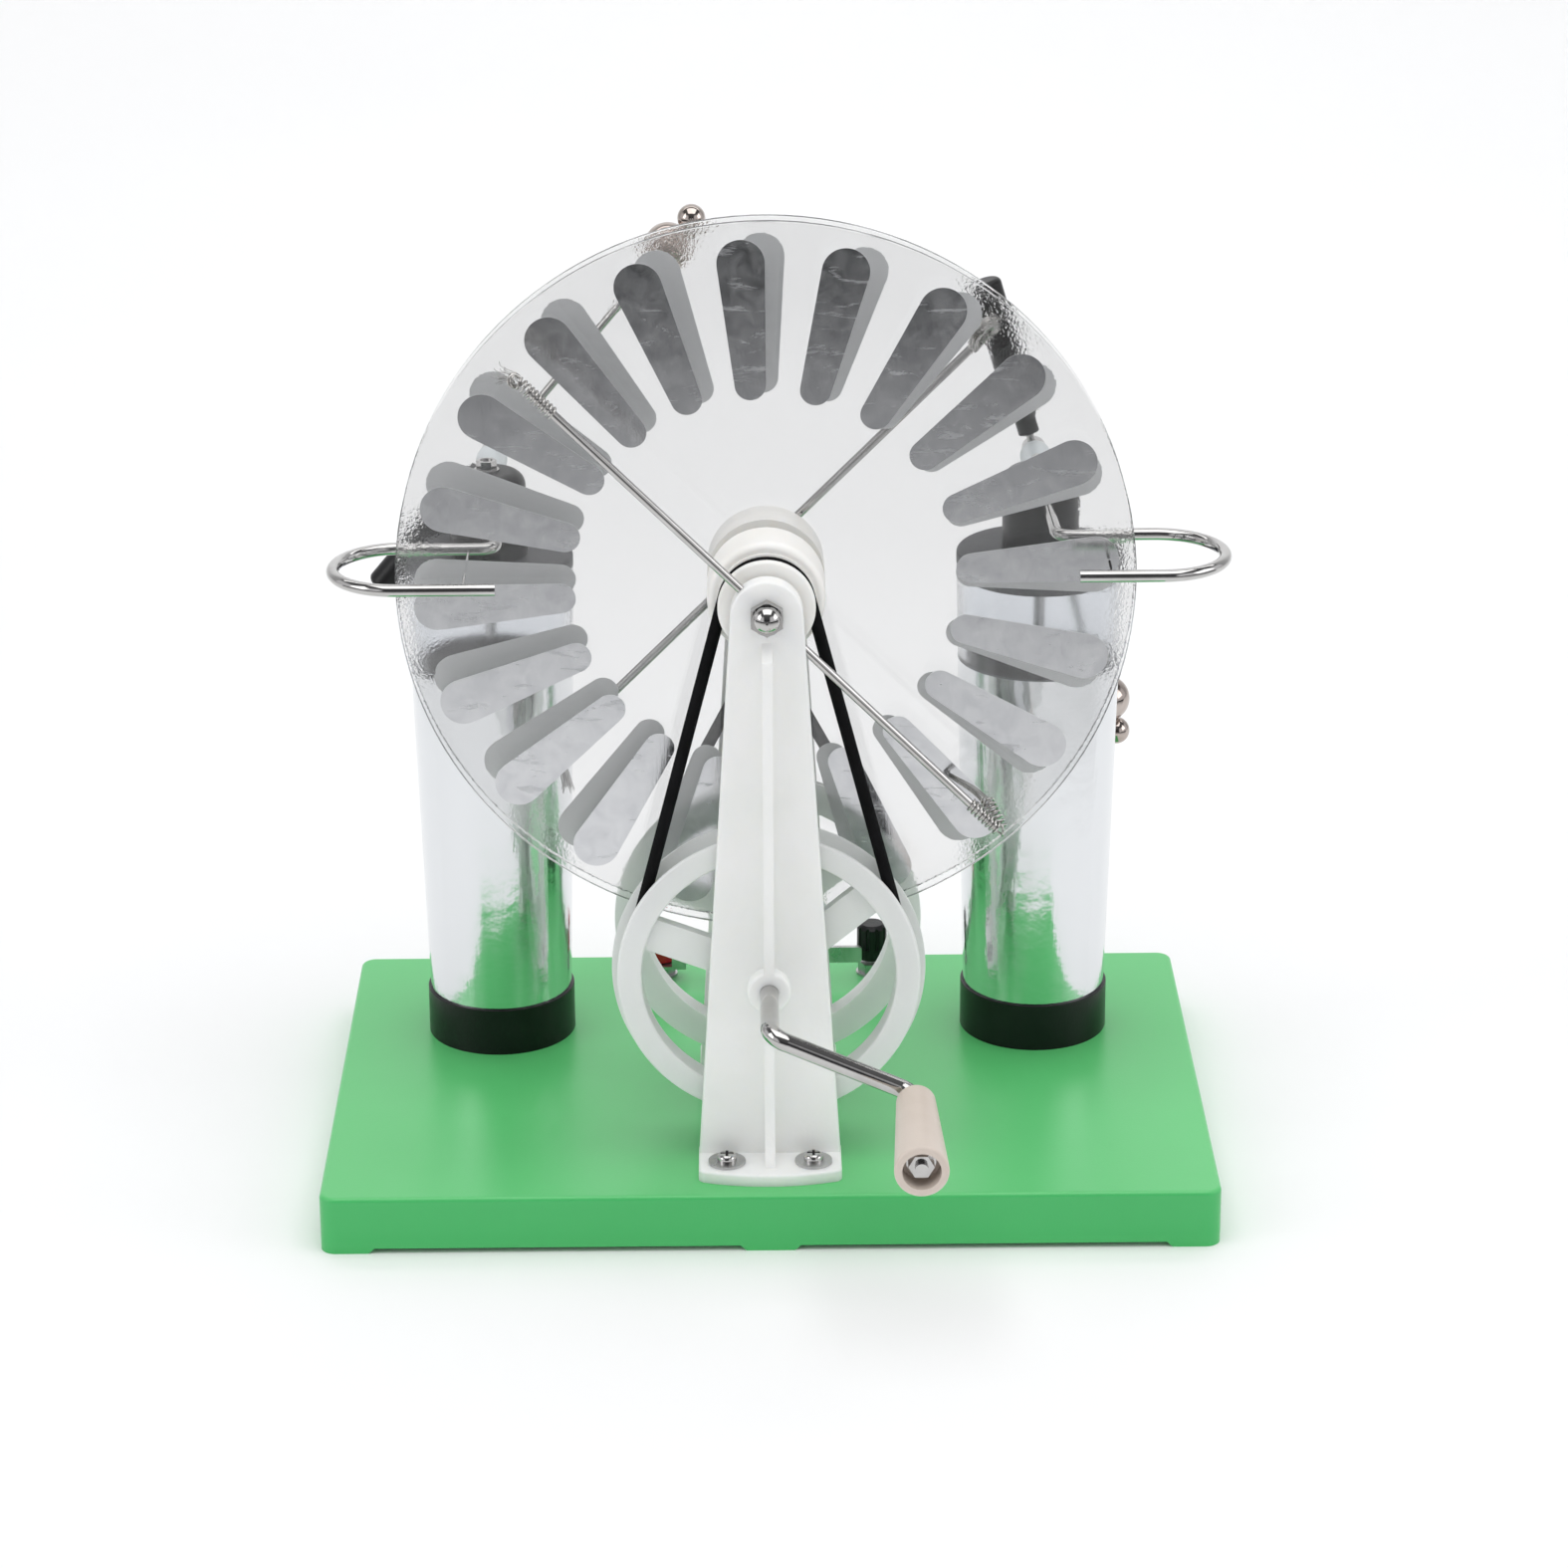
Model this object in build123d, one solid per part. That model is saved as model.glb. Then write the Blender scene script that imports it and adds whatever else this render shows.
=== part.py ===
from build123d import *
import math
import os

# Classroom influence machine with two clear discs that turn opposite ways.
# Millimetres, X right, Y back, Z up, origin under the middle of the base.
# Most pieces of the drive stand in pairs, mirrored about the plane between the two discs.
# "Reach" is a distance out from that plane, towards the front for a front piece.

# Base tray
BASE_WIDTH = 290.0
BASE_DEPTH = 195.0
BASE_TOP = 19.5
BASE_SKIN = 2.5
BASE_CORNER = 5.0
BASE_EDGE = 1.5
FOOT_LENGTH = 15.5
FOOT_HEIGHT = 1.8
FOOT_SLOPE = 2.0
BASE_RIB_WIDTH = 2.0
BASE_RIB_BOTTOM = 7.0
CENTRE_FOOT_R = 6.0
SCREW_POST_R = 4.2

# Places of the two shafts
MID_Y = -37.0
AXLE_Z = 207.5
SHAFT_Z = 82.0
AXLE_R = 3.0
SHAFT_R = 3.0

# Clearances
RUNNING_GAP = 0.05
SEAT_GAP = 0.05
MOVING_GAP = 0.4
BELT_GAP = 0.3
BRUSH_GAP = 0.4

# Discs and their foil sectors
DISC_R = 117.5
DISC_THICKNESS = 2.0
DISC_SPACING = 5.0
DISC_HOLE_R = 8.0
SECTOR_COUNT = 20
SECTOR_SHORT_OF_RIM = 5.5
SECTOR_OUTER_R = 7.5
SECTOR_INNER_TIP = 60.5
SECTOR_INNER_R = 4.9
FOIL_THICKNESS = 0.15
FRONT_SECTOR_TURN = -4.0
REAR_SECTOR_TURN = -0.6

# Disc hubs
HUB_BOSS_R = 18.7
HUB_BOSS_REACH = 21.0
HUB_BOSS_EDGE = 2.5
HUB_FLANGE_R = 15.4
HUB_FLANGE_REACH = 29.5
HUB_NECK_R = 6.0

# Belts
BELT_R = 2.0
BELT_REACH = 24.5
BELT_ON_HUB_R = 13.5
BELT_ON_WHEEL_R = 45.0
BELT_CROSSING = 4.5
GROOVE_FLARE = 0.25

# Drive wheels
WHEEL_OUTER_FLANGE_R = 48.9
WHEEL_INNER_FLANGE_R = 50.7
WHEEL_RIM_INNER_R = 41.0
WHEEL_WIDTH = 9.0
WHEEL_BOSS_R = 9.0
WHEEL_BOSS_OUT = 6.0
SPOKE_WIDTH = 11.0
SPOKE_THICKNESS = 4.0
SPOKE_COUNT = 3
SPOKE_TURN = 39.4
GRUB_R = 1.3
GRUB_LENGTH = 5.0
COLLAR_R = 6.0
COLLAR_LENGTH = 5.5

# Uprights
UPRIGHT_REACH = 31.0
UPRIGHT_THICKNESS = 6.0
HEAD_R = 11.4
UPRIGHT_FOOT_HALF = 23.1
UPRIGHT_FOOT_OUT = 17.0
UPRIGHT_FOOT_BOW = 4.0
UPRIGHT_FOOT_THICKNESS = 4.0
UPRIGHT_EDGE = 0.8
RIB_THICKNESS = 3.3
RIB_OUT = 5.0
RIB_TOP_BELOW_AXLE = 8.6
RIB_FLARE_HEIGHT = 22.0
RIB_FLARE_OUT = 6.5
SHAFT_BOSS_R = 7.0
FOOT_SCREW_X = 14.0
FOOT_SCREW_OUT = 6.8

# Fasteners
SCREW_R = 1.9
SCREW_HEAD_R = 3.2
SCREW_HEAD_HEIGHT = 2.5
SCREW_LENGTH = 15.0
WASHER_R = 6.0
WASHER_THICKNESS = 0.8
CAP_NUT_CORNER_R = 5.75
CAP_NUT_FLAT = 3.2
CAP_NUT_COLLAR = 1.4
CAP_NUT_DOME_R = 4.75
AXLE_THREAD_R = 2.4
AXLE_THREAD_LENGTH = 4.0

# Neutraliser rods and their wound brushes
ROD_R = 1.4
ROD_SHORT_OF_RIM = 15.0
ROD_TILT = 45.0
WIRE_R = 0.4
WINDING_ON_ROD = 11.0
WINDING_PITCH = 1.35
WINDING_TURNS = 8.75
UPPER_BRUSH_SHORT_OF_RIM = 12.5
LOWER_BRUSH_SHORT_OF_RIM = 30.0

# Crank
CRANK_ARM_REACH = 75.0
CRANK_ARM_X = 45.5
CRANK_ARM_DROP = 20.2
CRANK_BEND_R = 5.5
PIN_LENGTH = 43.0
PIN_THREAD_R = 2.0
PIN_THREAD_LENGTH = 6.0
GRIP_REAR_R = 6.2
GRIP_FRONT_R = 8.5
GRIP_LENGTH = 50.0
GRIP_RECESS_R = 6.0
PIN_NUT_CORNER_R = 4.0
PIN_NUT_HEIGHT = 3.2
PIN_WASHER_R = 4.6

# Jars
JAR_X = 92.0
JAR_Y = 38.0
JAR_WALL = 2.2
JAR_BOTTOM_R = 23.75
JAR_TOP_R = 28.0
JAR_CAP_R = 25.2
JAR_CAP_HEIGHT = 16.5
JAR_CAP_FLOOR = 2.0
JAR_HEIGHT = 167.0
FOIL_TOP = 155.0
LID_THICKNESS = 4.0
LID_PLUG = 4.0
DOME_R = 12.8
DOME_HEIGHT = 28.5
DOME_EDGE = 5.0
CONTACT_ROD_R = 2.0
CONTACT_DISC_THICKNESS = 1.0
CONTACT_LIFT = 6.0
FINIAL_WASHER_R = 4.2
FINIAL_NUT_CORNER_R = 3.4
FINIAL_HEIGHT = 3.0

# Collector combs
COMB_ROD_R = 2.0
COMB_HALF_GAP = 21.0
COMB_CORNER_R = 5.0
LEFT_COMB_Z = 211.6
LEFT_COMB_PAST_RIM = -1.0
LEFT_COMB_FRONT_END = 85.0
LEFT_COMB_CORNER = 86.4
RIGHT_COMB_Z = 214.6
RIGHT_COMB_PAST_RIM = 7.4
RIGHT_COMB_FRONT_END = 98.3
RIGHT_COMB_CORNER = 93.7
COMB_END_FROM_ROD = 5.0
NEEDLE_R = 0.45
NEEDLE_IN = 10.3
NEEDLE_GAP = 1.8

# Discharge arms and rods
ARM_R = 5.2
ARM_Z = 215.0
ARM_SOCKET = 4.0
PIVOT_Y = 75.5
SWIVEL_R = 4.2
SWIVEL_LENGTH = 8.0
PIVOT_SCREW_R = 1.5
PIVOT_HEAD_R = 3.6
PIVOT_HEAD_THICKNESS = 2.4
DISCHARGE_ROD_R = 1.4
BIG_BALL_R = 8.0
BIG_BALL_AT = 94.0
SMALL_BALL_R = 4.7
HANDLE_R = 5.3
HANDLE_START = 7.0
HANDLE_END = 62.0
HANDLE_NECK_R = 3.6
HANDLE_NECK_LENGTH = 5.0
LEFT_ROD_ANGLE = 50.0
RIGHT_ROD_ANGLE = -73.6

# Terminals and the link between them
TERMINAL_X = 37.4
TERMINAL_Y = 81.0
STUD_R = 2.0
TERMINAL_WASHER_R = 5.6
TERMINAL_NUT_CORNER_R = 4.9
TERMINAL_NUT_HEIGHT = 3.6
TERMINAL_CAP_R = 5.3
TERMINAL_CAP_HEIGHT = 12.8
TERMINAL_CAP_LIFT = 6.3
TERMINAL_STUD_IN_CAP = 10.0
TERMINAL_FLUTES = 10
TERMINAL_FLUTE_R = 0.7
LINK_LUG_R = 5.4
LINK_LUG_THICKNESS = 1.0
LINK_HEIGHT = 5.8
LINK_RISE = 2.2
LINK_THICKNESS = 1.8
LINK_HALF_LENGTH = 33.6
LINK_NECK = 5.0
LEAD_WIDTH = 8.0
LEAD_THICKNESS = 0.6

# Places that follow from the sizes above
DISC_REACH = DISC_SPACING / 2 + DISC_THICKNESS
DISC_INNER_REACH = DISC_SPACING / 2
SECTOR_OUTER_TIP = DISC_R - SECTOR_SHORT_OF_RIM
ROD_HALF_LENGTH = DISC_R - ROD_SHORT_OF_RIM
WINDING_START = ROD_HALF_LENGTH - WINDING_ON_ROD
UPRIGHT_FACE = UPRIGHT_REACH + UPRIGHT_THICKNESS
UPRIGHT_BOSS_FACE = UPRIGHT_FACE + RIB_OUT
ROD_REACH = UPRIGHT_REACH + UPRIGHT_THICKNESS / 2
FOOT_TOP = BASE_TOP + UPRIGHT_FOOT_THICKNESS
GROOVE_HALF = BELT_R + BELT_GAP
WHEEL_INNER_REACH = BELT_REACH - WHEEL_WIDTH / 2
WHEEL_OUTER_REACH = BELT_REACH + WHEEL_WIDTH / 2
JAR_FLOOR_Z = BASE_TOP + JAR_CAP_FLOOR
JAR_RIM_Z = JAR_FLOOR_Z + JAR_HEIGHT
LID_TOP_Z = JAR_RIM_Z + LID_THICKNESS
DOME_TOP_Z = LID_TOP_Z + DOME_HEIGHT
ARM_END_Y = PIVOT_Y - SWIVEL_LENGTH / 2 - MOVING_GAP
LEAD_Z = BASE_TOP - BASE_SKIN - LEAD_THICKNESS
LINK_Z = BASE_TOP + WASHER_THICKNESS + TERMINAL_NUT_HEIGHT + SEAT_GAP


def front(reach):
    """The Y of a front piece's point that lies this far out from the middle plane."""
    return MID_Y - reach


def to_rear(piece):
    """The rear twin of a front piece."""
    return mirror(piece, about=Plane(origin=(0, MID_Y, 0), z_dir=(0, 1, 0)))


def rod_y(radius, y_a, y_b, x=0.0, z=0.0):
    """A round bar along Y."""
    return Pos(x, (y_a + y_b) / 2, z) * Rot(90, 0, 0) * Cylinder(radius, abs(y_b - y_a))


def rod_z(radius, z_a, z_b, x=0.0, y=0.0):
    """A round bar along Z."""
    return Pos(x, y, (z_a + z_b) / 2) * Cylinder(radius, abs(z_b - z_a))


def block(*limits):
    """A straight-sided block between its limits along X, Y and Z."""
    middle = [(low + high) / 2 for low, high in limits]
    size = [high - low for low, high in limits]
    return Pos(*middle) * Box(*size)


def rod_between(radius, start, end):
    """A round bar from one point to another."""
    line = Line(start, end)
    return extrude(Plane(origin=start, z_dir=line % 0) * Circle(radius), line.length)


def slab(outline, y_back, thickness):
    """An outline drawn in X and Z, given its thickness forwards from y_back."""
    return Pos(0, y_back, 0) * Rot(90, 0, 0) * extrude(outline, thickness)


def turned(points, z_centre):
    """A front piece turned from (radius, reach) points about an axis along Y."""
    profile = make_face(Polyline([(r, front(reach)) for r, reach in points], close=True))
    return Pos(0, 0, z_centre) * revolve(profile, axis=Axis.Y)


def tube_along(path, radius):
    """A round wire or tube along a path."""
    return sweep(Plane(origin=path @ 0, z_dir=path % 0) * Circle(radius), path=path)


def base_tray():
    """Moulded tray: thin skin, ribs underneath and feet at the corners and mid edges."""
    outline = RectangleRounded(BASE_WIDTH, BASE_DEPTH, BASE_CORNER)
    inner_corner = BASE_CORNER - BASE_SKIN
    cavity = RectangleRounded(BASE_WIDTH - 2 * BASE_SKIN, BASE_DEPTH - 2 * BASE_SKIN, inner_corner)
    tray = Pos(0, 0, FOOT_HEIGHT) * extrude(outline, BASE_TOP - FOOT_HEIGHT)
    tray = fillet(tray.faces().sort_by(Axis.Z)[-1].edges(), BASE_EDGE)
    tray -= extrude(cavity, BASE_TOP - BASE_SKIN)
    skirt = extrude(outline - cavity, 2 * FOOT_HEIGHT)
    half = FOOT_LENGTH / 2
    foot_side = Polyline(
        [
            (-half, 0),
            (half, 0),
            (half + FOOT_SLOPE, FOOT_HEIGHT),
            (half + FOOT_SLOPE, 2 * FOOT_HEIGHT),
            (-half - FOOT_SLOPE, 2 * FOOT_HEIGHT),
            (-half - FOOT_SLOPE, FOOT_HEIGHT),
        ],
        close=True,
    )
    block = slab(make_face(foot_side), half, FOOT_LENGTH)
    corner_x = BASE_WIDTH / 2 - half
    corner_y = BASE_DEPTH / 2 - half
    for x in (-corner_x, 0, corner_x):
        for y in (-corner_y, corner_y):
            tray += skirt & (Pos(x, y, 0) * block)
    rib_height = BASE_TOP - BASE_SKIN - BASE_RIB_BOTTOM
    rib_z = BASE_RIB_BOTTOM + rib_height / 2
    tray += Pos(0, 0, rib_z) * Box(BASE_WIDTH - BASE_SKIN, BASE_RIB_WIDTH, rib_height)
    tray += Pos(0, 0, rib_z) * Box(BASE_RIB_WIDTH, BASE_DEPTH - BASE_SKIN, rib_height)
    tray += rod_z(CENTRE_FOOT_R, 0, BASE_TOP - BASE_SKIN)
    for x, y in foot_screw_places():
        tray += rod_z(SCREW_POST_R, BASE_RIB_BOTTOM, BASE_TOP - BASE_SKIN, x, y)
        tray -= rod_z(SCREW_R + SEAT_GAP, BASE_RIB_BOTTOM, BASE_TOP, x, y)
    for side in (-1, 1):
        tray -= rod_z(SCREW_R + SEAT_GAP, LEAD_Z, BASE_TOP, side * JAR_X, JAR_Y)
        tray -= rod_z(STUD_R + SEAT_GAP, LEAD_Z, BASE_TOP, side * TERMINAL_X, TERMINAL_Y)
    return tray


def foot_screw_places():
    """X and Y of the four screws that hold the uprights."""
    reach = UPRIGHT_FACE + FOOT_SCREW_OUT
    return [(x, y) for y in (MID_Y - reach, MID_Y + reach) for x in (-FOOT_SCREW_X, FOOT_SCREW_X)]


def rod_direction(side):
    """Unit vector up along a neutraliser rod: up to the left in front, to the right behind."""
    tilt = math.radians(ROD_TILT)
    return Vector(side * math.cos(tilt), 0, math.sin(tilt))


def upright_blank():
    """Front upright before its cross hole: plate, central rib, shaft boss and foot."""
    head = Pos(0, AXLE_Z) * Circle(HEAD_R)
    sill = Pos(0, BASE_TOP + 0.5) * Rectangle(2 * UPRIGHT_FOOT_HALF, 1.0)
    outline = make_hull(head.edges() + sill.edges())
    plate = slab(outline, front(UPRIGHT_REACH), UPRIGHT_THICKNESS)
    plate = fillet(plate.faces().sort_by(Axis.Y)[0].edges().sort_by(Axis.Z)[1:], UPRIGHT_EDGE)
    corner = UPRIGHT_FACE + UPRIGHT_FOOT_OUT - UPRIGHT_FOOT_BOW
    tip = UPRIGHT_FACE + UPRIGHT_FOOT_OUT
    left_back = (-UPRIGHT_FOOT_HALF, front(UPRIGHT_REACH))
    right_back = (UPRIGHT_FOOT_HALF, front(UPRIGHT_REACH))
    left_front = (-UPRIGHT_FOOT_HALF, front(corner))
    right_front = (UPRIGHT_FOOT_HALF, front(corner))
    sole = Polyline([left_front, left_back, right_back, right_front])
    sole += ThreePointArc(right_front, (0, front(tip)), left_front)
    sole = make_face(sole)
    sole = fillet(sole.vertices().sort_by(Axis.Y)[:2], 3.0)
    foot = Pos(0, 0, BASE_TOP) * extrude(sole, UPRIGHT_FOOT_THICKNESS)
    foot = fillet(foot.faces().sort_by(Axis.Z)[-1].edges().sort_by(Axis.Y)[:3], UPRIGHT_EDGE)
    rib_face = UPRIGHT_FACE + RIB_OUT
    rib_top = AXLE_Z - RIB_TOP_BELOW_AXLE
    flare_top = FOOT_TOP + RIB_FLARE_HEIGHT
    flare_foot = rib_face + RIB_FLARE_OUT
    side_line = Polyline(
        [
            (front(flare_foot), FOOT_TOP),
            (front(UPRIGHT_FACE - 1), FOOT_TOP),
            (front(UPRIGHT_FACE - 1), rib_top),
            (front(UPRIGHT_FACE), rib_top),
            (front(rib_face), rib_top - RIB_OUT),
            (front(rib_face), flare_top),
        ]
    )
    flare = ThreePointArc(
        (front(rib_face), flare_top),
        (front(rib_face + RIB_FLARE_OUT * 0.22), FOOT_TOP + RIB_FLARE_HEIGHT * 0.42),
        (front(flare_foot), FOOT_TOP),
    )
    rib = extrude(Plane.YZ * make_face(side_line + flare), RIB_THICKNESS / 2, both=True)
    boss = rod_y(SHAFT_BOSS_R, front(UPRIGHT_FACE - 1), front(UPRIGHT_BOSS_FACE), z=SHAFT_Z)
    boss = fillet(boss.faces().sort_by(Axis.Y)[0].edges(), 1.0)
    blank = plate + foot + rib + boss
    blank -= rod_y(SHAFT_R + RUNNING_GAP, front(UPRIGHT_REACH), front(UPRIGHT_BOSS_FACE), z=SHAFT_Z)
    blank -= rod_y(AXLE_R + SEAT_GAP, front(UPRIGHT_REACH), front(UPRIGHT_BOSS_FACE), z=AXLE_Z)
    for x in (-FOOT_SCREW_X, FOOT_SCREW_X):
        screw_y = front(UPRIGHT_FACE + FOOT_SCREW_OUT)
        blank -= rod_z(SCREW_R + SEAT_GAP, BASE_TOP, FOOT_TOP, x, screw_y)
    return blank


def cross_hole(side):
    """Hole for a neutraliser rod through an upright's head and the axle."""
    centre = Vector(0, MID_Y + side * ROD_REACH, AXLE_Z)
    reach = rod_direction(side) * (2 * HEAD_R)
    return rod_between(ROD_R + SEAT_GAP, centre - reach, centre + reach)


def neutraliser_rod(side):
    """Straight rod across one disc."""
    centre = Vector(0, MID_Y + side * ROD_REACH, AXLE_Z)
    reach = rod_direction(side) * ROD_HALF_LENGTH
    rod = rod_between(ROD_R, centre - reach, centre + reach)
    return fillet(rod.edges().filter_by(GeomType.CIRCLE), ROD_R * 0.4)


def biarc(p_a, t_a, p_b, t_b):
    """Two arcs that leave p_a along t_a and reach p_b along t_b."""
    chord = p_b - p_a
    both = t_a + t_b
    turn = 2 * (1 - t_a.dot(t_b))
    along = chord.dot(both)
    handle = (math.sqrt(along * along + turn * chord.dot(chord)) - along) / turn
    joint = (p_a + p_b + (t_a - t_b) * handle) * 0.5
    t_joint = ((p_b - t_b * handle) - (p_a + t_a * handle)).normalized()
    return [TangentArc(p_a, joint, tangent=t_a), TangentArc(joint, p_b, tangent=t_joint)]


def least_gap(path, wire_r, name):
    """Print the least gap between stretches of a wire that lie more than half a turn apart."""
    count = int(path.length / (1.5 * wire_r))
    points = [path @ (i / count) for i in range(count + 1)]
    step = path.length / count
    apart = int(math.ceil(math.pi * (ROD_R + wire_r) / step))
    gaps = [
        (points[i] - points[j]).length
        for i in range(count + 1)
        for j in range(i + apart, min(count + 1, i + 4 * apart))
    ]
    print(f"{name}: least gap to itself {min(gaps) - 2 * wire_r:.2f} mm")


def wound_brush(side, end, landing, name):
    """Tinsel wire wound on a rod's end, whose tail then springs across to the disc."""
    outward = rod_direction(side) * end
    inward = Vector(0, -side, 0)
    across = outward.cross(inward)
    start = Vector(0, MID_Y + side * ROD_REACH, AXLE_Z) + outward * WINDING_START
    coil_r = ROD_R + WIRE_R + SEAT_GAP

    def point(turns):
        angle = 2 * math.pi * turns
        around = inward * (coil_r * math.cos(angle)) + across * (coil_r * math.sin(angle))
        return start + outward * (WINDING_PITCH * turns) + around

    def tangent(turns):
        angle = 2 * math.pi * turns
        around = across * math.cos(angle) - inward * math.sin(angle)
        return (around * (2 * math.pi * coil_r) + outward * WINDING_PITCH).normalized()

    arcs = []
    quarters = int(WINDING_TURNS * 4)
    for i in range(quarters):
        a, b = i / 4, (i + 1) / 4
        arcs += biarc(point(a), tangent(a), point(b), tangent(b))
    tail_from = point(WINDING_TURNS)
    disc_face = DISC_REACH + FOIL_THICKNESS + BRUSH_GAP + 2 * WIRE_R
    tail_to = Vector(0, MID_Y + side * disc_face, AXLE_Z) + outward * landing
    tail_to += across * (2 * WIRE_R)
    landing_way = (inward + outward * (landing - WINDING_START - 12) * 0.06).normalized()
    arcs += biarc(tail_from, tangent(WINDING_TURNS), tail_to, landing_way)
    path = Wire([arc.edge() for arc in arcs])
    least_gap(path, WIRE_R, name)
    return tube_along(path, WIRE_R)


def main_axle():
    """Fixed axle with a threaded end in each cap nut and a cross hole for each rod."""
    axle = rod_y(AXLE_R, front(UPRIGHT_FACE), MID_Y + UPRIGHT_FACE, z=AXLE_Z)
    thread_reach = UPRIGHT_FACE + AXLE_THREAD_LENGTH
    axle += rod_y(AXLE_THREAD_R, front(thread_reach), MID_Y + thread_reach, z=AXLE_Z)
    return axle - cross_hole(-1) - cross_hole(1)


def axle_cap_nut():
    """Front cap nut: hexagon with a domed end."""
    hexagon = Pos(0, AXLE_Z) * RegularPolygon(CAP_NUT_CORNER_R, 6, rotation=30)
    nut = slab(hexagon, front(UPRIGHT_FACE), CAP_NUT_FLAT)
    dome_y = front(UPRIGHT_FACE + CAP_NUT_FLAT + CAP_NUT_COLLAR)
    nut += rod_y(CAP_NUT_DOME_R, front(UPRIGHT_FACE + CAP_NUT_FLAT), dome_y, z=AXLE_Z)
    nut += Pos(0, dome_y, AXLE_Z) * Rot(90, 0, 0) * Sphere(CAP_NUT_DOME_R, arc_size1=0)
    bore = UPRIGHT_FACE + AXLE_THREAD_LENGTH + SEAT_GAP
    return nut - rod_y(AXLE_THREAD_R + SEAT_GAP, front(UPRIGHT_FACE), front(bore), z=AXLE_Z)


def disc():
    """Front clear disc."""
    ring = rod_y(DISC_R, front(DISC_INNER_REACH), front(DISC_REACH), z=AXLE_Z)
    ring = chamfer(ring.edges().filter_by(GeomType.CIRCLE), 0.2)
    return ring - rod_y(DISC_HOLE_R + SEAT_GAP, front(0), front(2 * DISC_REACH), z=AXLE_Z)


def sectors(turn_of_first):
    """Foil sectors on a front disc's outer face, as separate pieces."""
    outer = Pos(0, SECTOR_OUTER_TIP - SECTOR_OUTER_R) * Circle(SECTOR_OUTER_R)
    inner = Pos(0, SECTOR_INNER_TIP + SECTOR_INNER_R) * Circle(SECTOR_INNER_R)
    leaf = make_hull(outer.edges() + inner.edges())
    foil = slab(leaf, front(DISC_REACH), FOIL_THICKNESS)
    step = 360 / SECTOR_COUNT
    foils = []
    for i in range(SECTOR_COUNT):
        foils.append(Pos(0, 0, AXLE_Z) * Rot(0, turn_of_first + i * step, 0) * foil)
    return Compound(children=foils)


def hub():
    """Front hub: spigot in the disc, plain boss, belt groove and flange, on the axle."""
    bore = AXLE_R + RUNNING_GAP
    blank = turned(
        [
            (bore, DISC_INNER_REACH),
            (DISC_HOLE_R, DISC_INNER_REACH),
            (DISC_HOLE_R, DISC_REACH),
            (HUB_BOSS_R, DISC_REACH),
            (HUB_BOSS_R, HUB_BOSS_REACH),
            (HUB_FLANGE_R, HUB_BOSS_REACH),
            (HUB_FLANGE_R, HUB_FLANGE_REACH),
            (HUB_NECK_R, HUB_FLANGE_REACH),
            (HUB_NECK_R, UPRIGHT_REACH - MOVING_GAP),
            (bore, UPRIGHT_REACH - MOVING_GAP),
        ],
        AXLE_Z,
    )
    rims = blank.edges().filter_by(GeomType.CIRCLE)
    boss_rims = [e for e in rims if abs(e.radius - HUB_BOSS_R) < 0.01]
    blank = fillet(ShapeList(boss_rims).sort_by(Axis.Y)[0], HUB_BOSS_EDGE)
    flange_rims = [e for e in blank.edges().filter_by(GeomType.CIRCLE) if abs(e.radius - HUB_FLANGE_R) < 0.01]
    blank = fillet(ShapeList(flange_rims).sort_by(Axis.Y)[0], 0.8)
    return blank - belt_groove(BELT_ON_HUB_R, HUB_FLANGE_R, AXLE_Z)


def belt_groove(belt_r, rim_r, z_centre):
    """Ring to cut from a pulley for a round belt on the front belt plane."""
    floor = Pos(belt_r, front(BELT_REACH)) * Circle(GROOVE_HALF)
    height = rim_r - belt_r + 2
    wide = GROOVE_HALF + height * GROOVE_FLARE
    corners = [(0, GROOVE_HALF), (height, wide), (height, -wide), (0, -GROOVE_HALF)]
    mouth = Pos(belt_r, front(BELT_REACH)) * make_face(Polyline(corners, close=True))
    return Pos(0, 0, z_centre) * revolve(floor + mouth, axis=Axis.Y)


def drive_wheel():
    """Front drive wheel: grooved rim, three broad spokes and a boss with a grub screw hole."""
    inner, outer = WHEEL_INNER_REACH, WHEEL_OUTER_REACH
    rim = turned(
        [
            (WHEEL_RIM_INNER_R, inner),
            (WHEEL_INNER_FLANGE_R, inner),
            (WHEEL_INNER_FLANGE_R, BELT_REACH),
            (WHEEL_OUTER_FLANGE_R, BELT_REACH),
            (WHEEL_OUTER_FLANGE_R, outer),
            (WHEEL_RIM_INNER_R, outer),
        ],
        SHAFT_Z,
    )
    front_rims = rim.faces().sort_by(Axis.Y)[0].edges()
    rim = fillet(front_rims, 0.8)
    rim -= belt_groove(BELT_ON_WHEEL_R, WHEEL_INNER_FLANGE_R, SHAFT_Z)
    spokes = Pos(0, SHAFT_Z) * Circle(WHEEL_BOSS_R)
    length = WHEEL_RIM_INNER_R + 0.8
    for i in range(SPOKE_COUNT):
        spoke = Pos(length / 2, 0) * Rectangle(length, SPOKE_WIDTH)
        spokes += Pos(0, SHAFT_Z) * Rot(0, 0, SPOKE_TURN + i * 360 / SPOKE_COUNT) * spoke
    wheel = rim + slab(spokes, front(BELT_REACH - SPOKE_THICKNESS / 2), SPOKE_THICKNESS)
    boss_ends = (front(BELT_REACH - WHEEL_BOSS_OUT), front(BELT_REACH + WHEEL_BOSS_OUT))
    wheel += rod_y(WHEEL_BOSS_R, *boss_ends, z=SHAFT_Z)
    wheel -= rod_y(SHAFT_R, front(0), front(2 * BELT_REACH), z=SHAFT_Z)
    return wheel - grub_screw(WHEEL_BOSS_R)


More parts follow.
